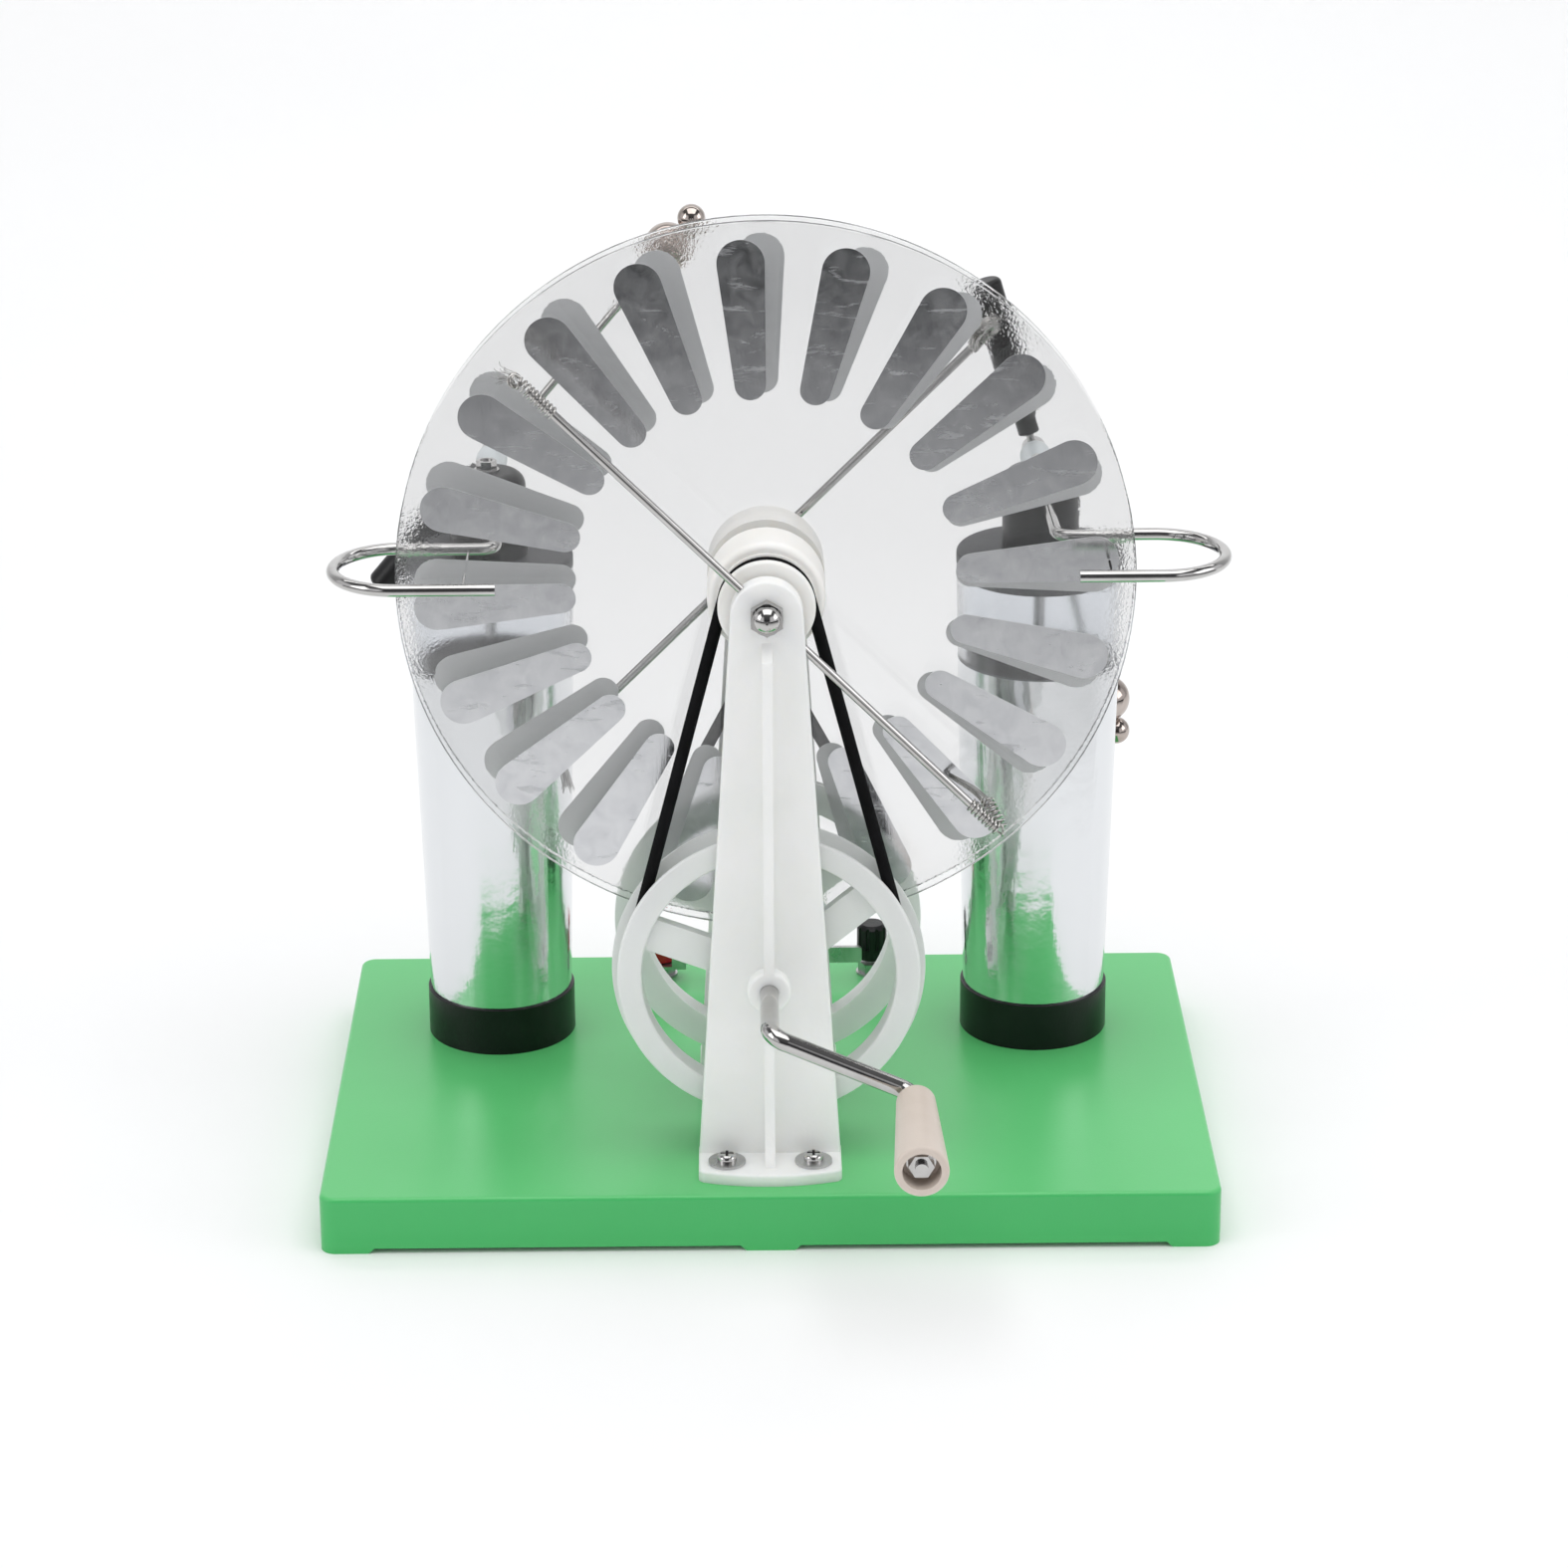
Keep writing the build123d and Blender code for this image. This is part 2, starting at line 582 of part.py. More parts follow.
def grub_screw(length):
    """Set screw of a front wheel, or the hole for it, between two spokes."""
    gap_turn = math.radians(SPOKE_TURN + 180 / SPOKE_COUNT)
    way = Vector(math.cos(gap_turn), 0, math.sin(gap_turn))
    start = Vector(0, front(BELT_REACH + (SPOKE_THICKNESS / 2 + WHEEL_BOSS_OUT) / 2), SHAFT_Z)
    return rod_between(GRUB_R, start + way * SHAFT_R, start + way * (SHAFT_R + length))


def open_belt():
    """Front belt: its two straight strands touch both pulleys on the same sides."""
    drop = AXLE_Z - SHAFT_Z
    slope = math.asin((BELT_ON_WHEEL_R - BELT_ON_HUB_R) / drop)
    cos_s, sin_s = math.cos(slope), math.sin(slope)
    y = front(BELT_REACH)
    top_x, top_z = BELT_ON_HUB_R * cos_s, AXLE_Z + BELT_ON_HUB_R * sin_s
    low_x, low_z = BELT_ON_WHEEL_R * cos_s, SHAFT_Z + BELT_ON_WHEEL_R * sin_s
    path = [
        Line((low_x, y, low_z), (top_x, y, top_z)),
        ThreePointArc((top_x, y, top_z), (0, y, AXLE_Z + BELT_ON_HUB_R), (-top_x, y, top_z)),
        Line((-top_x, y, top_z), (-low_x, y, low_z)),
        ThreePointArc((-low_x, y, low_z), (0, y, SHAFT_Z - BELT_ON_WHEEL_R), (low_x, y, low_z)),
    ]
    return tube_along(Wire([piece.edge() for piece in path]), BELT_R)


def crossed_belt():
    """Rear belt: its strands cross between the pulleys, each leaning aside there."""
    drop = AXLE_Z - SHAFT_Z
    slope = math.asin((BELT_ON_WHEEL_R + BELT_ON_HUB_R) / drop)
    cos_s, sin_s = math.cos(slope), math.sin(slope)
    y = MID_Y + BELT_REACH
    top = Vector(BELT_ON_HUB_R * cos_s, y, AXLE_Z - BELT_ON_HUB_R * sin_s)
    low = Vector(-BELT_ON_WHEEL_R * cos_s, y, SHAFT_Z + BELT_ON_WHEEL_R * sin_s)
    down = (low - top).normalized()
    middle = top + down * (top.X / -down.X)

    def strand(lean):
        aside = middle + Vector(0, lean, 0)
        return biarc_level(top, aside, down) + biarc_level(aside, low, down)

    def biarc_level(p_a, p_b, way):
        half = (p_a + p_b) * 0.5
        t_half = ((p_b - p_a) * 2 - way * (p_b - p_a).dot(way)).normalized()
        return [TangentArc(p_a, half, tangent=way), TangentArc(half, p_b, tangent=t_half)]

    across = Plane(origin=(0, 0, 0), z_dir=(1, 0, 0))
    right_to_left = strand(BELT_CROSSING / 2)
    left_to_right = [mirror(piece, about=across) for piece in strand(-BELT_CROSSING / 2)]
    over = ThreePointArc((-top.X, y, top.Z), (0, y, AXLE_Z + BELT_ON_HUB_R), (top.X, y, top.Z))
    under = ThreePointArc((low.X, y, low.Z), (0, y, SHAFT_Z - BELT_ON_WHEEL_R), (-low.X, y, low.Z))
    pieces = [over] + right_to_left + [under] + left_to_right
    return tube_along(Wire([piece.edge() for piece in pieces]), BELT_R)


def pin_start():
    """Y where the crank's straight pin begins, past its second bend."""
    return front(CRANK_ARM_REACH) - CRANK_BEND_R


def crank_shaft():
    """One bent rod: shaft through both uprights, arm, and pin with a threaded end."""
    arm_z = SHAFT_Z - CRANK_ARM_DROP
    pin_end = pin_start() - PIN_LENGTH
    rear_end = MID_Y + UPRIGHT_BOSS_FACE + MOVING_GAP + COLLAR_LENGTH + 1.0
    path = FilletPolyline(
        (0, rear_end, SHAFT_Z),
        (0, front(CRANK_ARM_REACH), SHAFT_Z),
        (CRANK_ARM_X, front(CRANK_ARM_REACH), arm_z),
        (CRANK_ARM_X, pin_end, arm_z),
        radius=CRANK_BEND_R,
    )
    rod = tube_along(path, SHAFT_R)
    return rod + rod_y(PIN_THREAD_R, pin_end, pin_end - PIN_THREAD_LENGTH, CRANK_ARM_X, arm_z)


def grip_rear():
    """Y of the grip's rear face, just clear of the bend."""
    return pin_start() - MOVING_GAP


def crank_grip():
    """Turned handle, bored for the pin, with a recess in front for the nut."""
    rear = grip_rear()
    face = rear - GRIP_LENGTH
    profile = Polyline([(0, rear), (GRIP_REAR_R, rear), (GRIP_FRONT_R, face), (0, face)], close=True)
    grip = revolve(make_face(profile), axis=Axis.Y)
    grip = fillet(grip.edges().filter_by(GeomType.CIRCLE), 1.0)
    grip -= rod_y(GRIP_RECESS_R, face, pin_start() - PIN_LENGTH + MOVING_GAP)
    grip -= rod_y(SHAFT_R + RUNNING_GAP, rear, face)
    return Pos(CRANK_ARM_X, 0, SHAFT_Z - CRANK_ARM_DROP) * grip


def pin_nut():
    """Washer and hexagon nut on the pin's threaded end."""
    seat = pin_start() - PIN_LENGTH
    hexagon = RegularPolygon(PIN_NUT_CORNER_R, 6)
    nut = slab(hexagon, seat - WASHER_THICKNESS, PIN_NUT_HEIGHT)
    nut += rod_y(PIN_WASHER_R, seat, seat - WASHER_THICKNESS)
    nut -= rod_y(PIN_THREAD_R + SEAT_GAP, seat, seat - PIN_THREAD_LENGTH)
    return Pos(CRANK_ARM_X, 0, SHAFT_Z - CRANK_ARM_DROP) * nut


def shaft_collar():
    """Collar that keeps the shaft from sliding forwards out of the rear upright."""
    near = MID_Y + UPRIGHT_BOSS_FACE + MOVING_GAP
    collar = rod_y(COLLAR_R, near, near + COLLAR_LENGTH, z=SHAFT_Z)
    collar = chamfer(collar.edges().filter_by(GeomType.CIRCLE), 0.5)
    collar -= rod_y(SHAFT_R, near - 1, near + COLLAR_LENGTH + 1, z=SHAFT_Z)
    hole_y = near + COLLAR_LENGTH / 2
    return collar - rod_z(GRUB_R, SHAFT_Z + SHAFT_R, SHAFT_Z + 2 * COLLAR_R, y=hole_y)


def collar_screw():
    """Set screw in the shaft collar."""
    hole_y = MID_Y + UPRIGHT_BOSS_FACE + MOVING_GAP + COLLAR_LENGTH / 2
    top = SHAFT_Z + COLLAR_R - 0.4
    return rod_z(GRUB_R, SHAFT_Z + SHAFT_R, top, y=hole_y)


def pan_screw(length):
    """Cross head screw, standing with the underside of its head at Z 0."""
    head = rod_z(SCREW_HEAD_R, 0, SCREW_HEAD_HEIGHT)
    head = fillet(head.faces().sort_by(Axis.Z)[-1].edges(), 1.7)
    for angle in (0, 90):
        slot = Pos(0, 0, SCREW_HEAD_HEIGHT) * Rot(0, 0, angle) * Box(4.2, 0.9, 2.4)
        head -= slot
    return head + rod_z(SCREW_R, -length, 0)


def washer(hole_r):
    """Plain washer, standing on Z 0."""
    return rod_z(WASHER_R, 0, WASHER_THICKNESS) - rod_z(hole_r, 0, WASHER_THICKNESS)


def jar_radius(z):
    """Outside radius of a jar's tapered wall at a height."""
    share = (z - JAR_FLOOR_Z) / JAR_HEIGHT
    return JAR_BOTTOM_R + (JAR_TOP_R - JAR_BOTTOM_R) * share


def cone_shell(z_a, z_b, outside, thickness):
    """Thin tapered shell that follows the jar's wall, at a distance outside it."""
    r_a, r_b = jar_radius(z_a) + outside, jar_radius(z_b) + outside
    points = [(r_a - thickness, z_a), (r_a, z_a), (r_b, z_b), (r_b - thickness, z_b)]
    profile = Plane.XZ * make_face(Polyline(points, close=True))
    return revolve(profile, axis=Axis.Z)


def jar_cup():
    """Clear tapered cup about the Z axis."""
    floor_top = JAR_FLOOR_Z + JAR_WALL
    points = [
        (0, JAR_FLOOR_Z),
        (jar_radius(JAR_FLOOR_Z), JAR_FLOOR_Z),
        (jar_radius(JAR_RIM_Z), JAR_RIM_Z),
        (jar_radius(JAR_RIM_Z) - JAR_WALL, JAR_RIM_Z),
        (jar_radius(floor_top) - JAR_WALL, floor_top),
        (0, floor_top),
    ]
    return revolve(Plane.XZ * make_face(Polyline(points, close=True)), axis=Axis.Z)


def jar_base_cap():
    """Black moulded cap that holds the jar's foot."""
    cap = rod_z(JAR_CAP_R, BASE_TOP, BASE_TOP + JAR_CAP_HEIGHT)
    cap = fillet(cap.faces().sort_by(Axis.Z)[-1].edges(), 0.4)
    seat_r = jar_radius(BASE_TOP + JAR_CAP_HEIGHT) + FOIL_THICKNESS + SEAT_GAP
    cap -= rod_z(seat_r, JAR_FLOOR_Z, BASE_TOP + JAR_CAP_HEIGHT)
    return cap - rod_z(SCREW_R + SEAT_GAP, BASE_TOP, JAR_FLOOR_Z)


def jar_lid():
    """Black lid with a plug that fits the jar's mouth."""
    lid = rod_z(JAR_TOP_R, JAR_RIM_Z, LID_TOP_Z)
    lid = fillet(lid.faces().sort_by(Axis.Z)[-1].edges(), 1.2)
    plug_r = jar_radius(JAR_RIM_Z - LID_PLUG) - JAR_WALL - SEAT_GAP
    lid += rod_z(plug_r, JAR_RIM_Z - LID_PLUG, JAR_RIM_Z)
    return lid - rod_z(CONTACT_ROD_R + SEAT_GAP, JAR_RIM_Z - LID_PLUG, LID_TOP_Z)


def jar_dome(side, comb_path):
    """Black boss on a lid, bored for the contact rod, the comb and the arm."""
    dome = rod_z(DOME_R, LID_TOP_Z, DOME_TOP_Z, side * JAR_X, JAR_Y)
    dome = fillet(dome.faces().sort_by(Axis.Z)[-1].edges(), DOME_EDGE)
    dome -= rod_z(CONTACT_ROD_R + SEAT_GAP, LID_TOP_Z, DOME_TOP_Z, side * JAR_X, JAR_Y)
    dome -= tube_along(comb_path, COMB_ROD_R + SEAT_GAP)
    socket_y = JAR_Y + DOME_R - ARM_SOCKET
    return dome - rod_y(ARM_R + SEAT_GAP, socket_y, socket_y + DOME_R, side * JAR_X, ARM_Z)


def contact_rod():
    """Rod from a dome's top down to a disc that touches the inner foil."""
    foot_z = JAR_FLOOR_Z + JAR_WALL + CONTACT_LIFT
    rod = rod_z(CONTACT_ROD_R, foot_z, DOME_TOP_Z + WASHER_THICKNESS + FINIAL_HEIGHT - 0.6)
    disc_r = jar_radius(foot_z) - JAR_WALL - FOIL_THICKNESS - SEAT_GAP
    return rod + rod_z(disc_r, foot_z, foot_z + CONTACT_DISC_THICKNESS)


def dome_finial():
    """Washer and nut on a contact rod's threaded top."""
    base = rod_z(FINIAL_WASHER_R, DOME_TOP_Z, DOME_TOP_Z + WASHER_THICKNESS)
    hexagon = Pos(0, 0, DOME_TOP_Z + WASHER_THICKNESS) * RegularPolygon(FINIAL_NUT_CORNER_R, 6)
    base += extrude(hexagon, FINIAL_HEIGHT)
    return base - rod_z(CONTACT_ROD_R + SEAT_GAP, DOME_TOP_Z, DOME_TOP_Z + 2 * FINIAL_HEIGHT)


def comb_path(side, height, bend, front_end, corner):
    """Centre line of a comb: round the discs' edge, then back into the dome."""
    y_front, y_rear = MID_Y - COMB_HALF_GAP, MID_Y + COMB_HALF_GAP
    entry = Vector(side * JAR_X, JAR_Y, height)
    corner_point = Vector(side * corner, y_rear, height)
    back = (entry - corner_point).normalized()
    end = entry - back * COMB_END_FROM_ROD
    turn = back.get_angle(Vector(side, 0, 0))
    cut = COMB_CORNER_R / math.tan(math.radians(turn / 2))
    before = corner_point + Vector(side * cut, 0, 0)
    after = corner_point + back * cut
    pieces = [
        Line((side * front_end, y_front, height), (side * bend, y_front, height)),
        ThreePointArc(
            (side * bend, y_front, height),
            (side * (bend + COMB_HALF_GAP), MID_Y, height),
            (side * bend, y_rear, height),
        ),
        Line((side * bend, y_rear, height), before),
        TangentArc(before, after, tangent=Vector(-side, 0, 0)),
        Line(after, end),
    ]
    return Wire([piece.edge() for piece in pieces])


def comb(side, path, height, front_end):
    """Collector comb with a hole through each leg for its needle."""
    rod = tube_along(path, COMB_ROD_R)
    for needle in comb_needles(side, height, front_end):
        rod -= needle
    return rod


def comb_needles(side, height, front_end):
    """Two needles that point at the discs' outer faces from a comb's legs."""
    x = side * (front_end + NEEDLE_IN)
    face = DISC_REACH + FOIL_THICKNESS + NEEDLE_GAP
    back = COMB_HALF_GAP + COMB_ROD_R * 0.9
    return [
        rod_y(NEEDLE_R, MID_Y + way * face, MID_Y + way * back, x, height)
        for way in (-1, 1)
    ]


def discharge_arm(side):
    """Pale insulating arm from a dome back to the swivel, tapped for its screw."""
    start = JAR_Y + DOME_R - ARM_SOCKET
    arm = rod_y(ARM_R, start, ARM_END_Y, side * JAR_X, ARM_Z)
    arm = fillet(arm.faces().sort_by(Axis.Y)[-1].edges(), 0.6)
    return arm - rod_y(PIVOT_SCREW_R, ARM_END_Y - 8, ARM_END_Y, side * JAR_X, ARM_Z)


def pivot_screw(side):
    """Round-headed screw that the swivel turns on."""
    head_at = PIVOT_Y + SWIVEL_LENGTH / 2 + MOVING_GAP
    screw = rod_y(PIVOT_SCREW_R, ARM_END_Y - 8, head_at, side * JAR_X, ARM_Z)
    head = rod_y(PIVOT_HEAD_R, head_at, head_at + PIVOT_HEAD_THICKNESS, side * JAR_X, ARM_Z)
    head = fillet(head.faces().sort_by(Axis.Y)[-1].edges(), 1.2)
    return screw + head


def along_rod(side, angle, distance):
    """Point on a discharge rod at a distance from its pivot."""
    turn = math.radians(angle)
    offset = Vector(math.cos(turn), 0, math.sin(turn)) * distance
    return Vector(side * JAR_X, PIVOT_Y, ARM_Z) + offset


def small_ball_at():
    """Distance of the small ball from the pivot: it stands on the big one."""
    return BIG_BALL_AT + BIG_BALL_R + SMALL_BALL_R - 0.3


def discharge_rod(side, angle):
    """Rod with its swivel eye; it runs into the handle and through the big ball."""
    eye = rod_y(SWIVEL_R, PIVOT_Y - SWIVEL_LENGTH / 2, PIVOT_Y + SWIVEL_LENGTH / 2)
    eye = fillet(eye.edges().filter_by(GeomType.CIRCLE), 0.6)
    rod = Pos(side * JAR_X, 0, ARM_Z) * eye
    tail = along_rod(side, angle, -HANDLE_END * 0.7)
    rod += rod_between(DISCHARGE_ROD_R, tail, along_rod(side, angle, small_ball_at()))
    hole_a, hole_b = PIVOT_Y - SWIVEL_LENGTH, PIVOT_Y + SWIVEL_LENGTH
    return rod - rod_y(PIVOT_SCREW_R + RUNNING_GAP, hole_a, hole_b, side * JAR_X, ARM_Z)


def discharge_balls(side, angle):
    """Big ball and the small one beyond it, both bored for the rod."""
    big = Pos(along_rod(side, angle, BIG_BALL_AT)) * Sphere(BIG_BALL_R)
    small = Pos(along_rod(side, angle, small_ball_at())) * Sphere(SMALL_BALL_R)
    near = along_rod(side, angle, 0)
    bore = rod_between(DISCHARGE_ROD_R, near, along_rod(side, angle, small_ball_at()))
    return big + small - bore


def discharge_handle(side, angle):
    """Black handle turned with a narrow neck, on the rod's other end."""
    length = HANDLE_END - HANDLE_START
    profile = Polyline(
        [
            (0, 0),
            (HANDLE_NECK_R, 0),
            (HANDLE_NECK_R, HANDLE_NECK_LENGTH),
            (HANDLE_R, HANDLE_NECK_LENGTH + 3),
            (HANDLE_R, length),
            (0, length),
        ],
        close=True,
    )
    handle = revolve(Plane.XZ * make_face(profile), axis=Axis.Z)
    handle = fillet(handle.faces().sort_by(Axis.Z)[-1].edges(), 2.0)
    bore_depth = HANDLE_END * 0.7 - HANDLE_START
    handle -= rod_z(DISCHARGE_ROD_R, 0, bore_depth)
    way = along_rod(side, angle, -1) - along_rod(side, angle, 0)
    return Plane(origin=along_rod(side, angle, -HANDLE_START), z_dir=way) * handle


def terminal_post(side):
    """Threaded stud with a washer and a hexagon nut that clamp it to the base."""
    x = side * TERMINAL_X
    nut_bottom = BASE_TOP + WASHER_THICKNESS
    stud_top = BASE_TOP + TERMINAL_CAP_LIFT + TERMINAL_STUD_IN_CAP
    stud = rod_z(STUD_R, LEAD_Z - 2.2, stud_top, x, TERMINAL_Y)
    stud += rod_z(TERMINAL_WASHER_R, BASE_TOP, nut_bottom, x, TERMINAL_Y)
    hexagon = Pos(x, TERMINAL_Y, nut_bottom) * RegularPolygon(TERMINAL_NUT_CORNER_R, 6)
    stud += extrude(hexagon, TERMINAL_NUT_HEIGHT)
    lower = Pos(x, TERMINAL_Y, LEAD_Z - 2) * RegularPolygon(TERMINAL_NUT_CORNER_R, 6)
    return stud + extrude(lower, 2)


def terminal_cap(side):
    """Screw-down insulating cap with a fluted grip."""
    bottom = BASE_TOP + TERMINAL_CAP_LIFT
    x = side * TERMINAL_X
    cap = rod_z(TERMINAL_CAP_R, bottom, bottom + TERMINAL_CAP_HEIGHT, x, TERMINAL_Y)
    cap = chamfer(cap.faces().sort_by(Axis.Z)[-1].edges(), 1.4)
    for i in range(TERMINAL_FLUTES):
        angle = 2 * math.pi * i / TERMINAL_FLUTES
        flute_x = x + TERMINAL_CAP_R * math.cos(angle)
        flute_y = TERMINAL_Y + TERMINAL_CAP_R * math.sin(angle)
        cap -= rod_z(TERMINAL_FLUTE_R, bottom + 4, bottom + TERMINAL_CAP_HEIGHT, flute_x, flute_y)
    hole_top = bottom + TERMINAL_STUD_IN_CAP + MOVING_GAP
    return cap - rod_z(STUD_R + RUNNING_GAP, bottom, hole_top, x, TERMINAL_Y)


def link_bar():
    """Link hinged on the left stud: a raised blade in front of both caps, on a tongue and a neck."""
    lug_low = LINK_Z + MOVING_GAP
    lug_high = lug_low + LINK_LUG_THICKNESS
    blade_back = TERMINAL_Y - TERMINAL_CAP_R - MOVING_GAP
    blade_front = blade_back - LINK_THICKNESS
    neck_right = LINK_NECK - LINK_HALF_LENGTH
    lug = rod_z(LINK_LUG_R, lug_low, lug_high, -TERMINAL_X, TERMINAL_Y)
    lug += block((-TERMINAL_X, neck_right), (blade_front, TERMINAL_Y), (lug_low, lug_high))
    neck = block((-LINK_HALF_LENGTH, neck_right), (blade_front, blade_back), (lug_low, lug_high + LINK_RISE))
    blade_low = lug_low + LINK_RISE
    blade_span = (-LINK_HALF_LENGTH, LINK_HALF_LENGTH)
    blade = block(blade_span, (blade_front, blade_back), (blade_low, blade_low + LINK_HEIGHT))
    far_top = blade.edges().filter_by(Axis.Y).group_by(Axis.X)[-1]
    blade = fillet(far_top, 1.2)
    hole = rod_z(STUD_R + RUNNING_GAP, lug_low, lug_high, -TERMINAL_X, TERMINAL_Y)
    return lug + neck + blade - hole


def jar_lead(side):
    """Flat strip under the base, from a jar's screw to its terminal."""
    jar = Vector(side * JAR_X, JAR_Y, LEAD_Z)
    post = Vector(side * TERMINAL_X, TERMINAL_Y, LEAD_Z)
    way = post - jar
    middle = (jar + post) * 0.5
    angle = math.degrees(math.atan2(way.Y, way.X))
    strip = SlotCenterToCenter(way.length, LEAD_WIDTH)
    lead = Pos(middle) * Rot(0, 0, angle) * extrude(strip, LEAD_THICKNESS)
    lead -= rod_z(SCREW_R + SEAT_GAP, LEAD_Z, BASE_TOP, jar.X, jar.Y)
    return lead - rod_z(STUD_R + SEAT_GAP, LEAD_Z, BASE_TOP, post.X, post.Y)


def at_jar(piece, side):
    """A piece drawn about the Z axis, moved to a jar."""
    return Pos(side * JAR_X, JAR_Y, 0) * piece


os.makedirs("parts", exist_ok=True)
nodes = {}

nodes["base"] = base_tray()

front_blank = upright_blank()
nodes["front_upright"] = front_blank - cross_hole(-1)
nodes["rear_upright"] = to_rear(front_blank) - cross_hole(1)
foot_screw = Pos(0, 0, FOOT_TOP + WASHER_THICKNESS) * pan_screw(SCREW_LENGTH)
foot_washer = Pos(0, 0, FOOT_TOP) * washer(SCREW_R + SEAT_GAP)
nodes["foot_screws"] = Compound(children=[Pos(x, y, 0) * foot_screw for x, y in foot_screw_places()])
nodes["foot_washers"] = Compound(children=[Pos(x, y, 0) * foot_washer for x, y in foot_screw_places()])

nodes["main_axle"] = main_axle()
cap_nut = axle_cap_nut()
nodes["axle_cap_nuts"] = Compound(children=[cap_nut, to_rear(cap_nut)])
spacer_half = DISC_INNER_REACH - MOVING_GAP
spacer = rod_y(2 * AXLE_R, MID_Y - spacer_half, MID_Y + spacer_half, z=AXLE_Z)
spacer -= rod_y(AXLE_R + SEAT_GAP, MID_Y - spacer_half, MID_Y + spacer_half, z=AXLE_Z)
nodes["disc_spacer"] = spacer

front_disc = disc()
nodes["front_disc"] = front_disc
nodes["rear_disc"] = to_rear(front_disc)
nodes["front_sectors"] = sectors(FRONT_SECTOR_TURN)
rear_foils = [to_rear(foil) for foil in sectors(REAR_SECTOR_TURN).solids()]
nodes["rear_sectors"] = Compound(children=rear_foils)
front_hub = hub()
nodes["front_hub"] = front_hub
nodes["rear_hub"] = to_rear(front_hub)

nodes["front_belt"] = open_belt()
nodes["rear_belt"] = crossed_belt()
front_wheel = drive_wheel()
nodes["front_drive_wheel"] = front_wheel
nodes["rear_drive_wheel"] = to_rear(front_wheel)
grub = grub_screw(GRUB_LENGTH)
nodes["set_screws"] = Compound(children=[grub, to_rear(grub), collar_screw()])
nodes["crank_shaft"] = crank_shaft()
nodes["shaft_collar"] = shaft_collar()
nodes["crank_grip"] = crank_grip()
nodes["crank_pin_nut"] = pin_nut()

nodes["front_neutraliser_rod"] = neutraliser_rod(-1)
nodes["rear_neutraliser_rod"] = neutraliser_rod(1)
for side, name in ((-1, "front_brushes"), (1, "rear_brushes")):
    upper = wound_brush(side, 1, DISC_R - UPPER_BRUSH_SHORT_OF_RIM, name + " upper")
    lower = wound_brush(side, -1, DISC_R - LOWER_BRUSH_SHORT_OF_RIM, name + " lower")
    nodes[name] = Compound(children=[upper, lower])

cup = jar_cup()
outer_foil = cone_shell(JAR_FLOOR_Z, FOIL_TOP, FOIL_THICKNESS, FOIL_THICKNESS)
inner_foil = cone_shell(JAR_FLOOR_Z + JAR_WALL, FOIL_TOP, -JAR_WALL, FOIL_THICKNESS)
base_cap = jar_base_cap()
lid = jar_lid()
rod = contact_rod()
finial = dome_finial()
jar_screw = Rot(180, 0, 0) * pan_screw(JAR_FLOOR_Z - LEAD_Z)
jar_screw = Pos(0, 0, LEAD_Z) * jar_screw
both = (-1, 1)
for side, name in ((-1, "left"), (1, "right")):
    nodes[name + "_jar_cup"] = at_jar(cup, side)
    nodes[name + "_outer_foil"] = at_jar(outer_foil, side)
    nodes[name + "_jar_lid"] = at_jar(lid, side)
nodes["inner_foils"] = Compound(children=[at_jar(inner_foil, side) for side in both])
nodes["jar_base_caps"] = Compound(children=[at_jar(base_cap, side) for side in both])
nodes["contact_rods"] = Compound(children=[at_jar(rod, side) for side in both])
nodes["dome_finials"] = Compound(children=[at_jar(finial, side) for side in both])
nodes["jar_screws"] = Compound(children=[at_jar(jar_screw, side) for side in both])

combs = {
    "left": (-1, LEFT_COMB_Z, DISC_R + LEFT_COMB_PAST_RIM, LEFT_COMB_FRONT_END, LEFT_COMB_CORNER),
    "right": (1, RIGHT_COMB_Z, DISC_R + RIGHT_COMB_PAST_RIM, RIGHT_COMB_FRONT_END, RIGHT_COMB_CORNER),
}
needles = []
for name, (side, height, bend, front_end, corner) in combs.items():
    path = comb_path(side, height, bend, front_end, corner)
    nodes[name + "_comb"] = comb(side, path, height, front_end)
    nodes[name + "_jar_dome"] = jar_dome(side, path)
    needles += comb_needles(side, height, front_end)
nodes["comb_needles"] = Compound(children=needles)

for name, side, angle in (("left", -1, LEFT_ROD_ANGLE), ("right", 1, RIGHT_ROD_ANGLE)):
    nodes[name + "_discharge_arm"] = discharge_arm(side)
    nodes[name + "_discharge_rod"] = discharge_rod(side, angle)
    nodes[name + "_discharge_balls"] = discharge_balls(side, angle)
    nodes[name + "_discharge_handle"] = discharge_handle(side, angle)
    nodes[name + "_terminal_cap"] = terminal_cap(side)
nodes["pivot_screws"] = Compound(children=[pivot_screw(side) for side in both])
nodes["terminal_posts"] = Compound(children=[terminal_post(side) for side in both])
nodes["link_bar"] = link_bar()
nodes["jar_leads"] = Compound(children=[jar_lead(side) for side in both])

for name, shape in nodes.items():
    export_step(shape, f"parts/{name}.step")
print(len(nodes), "nodes")
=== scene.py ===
import math
import random

import bmesh
import bpy
from mathutils import Matrix, Vector


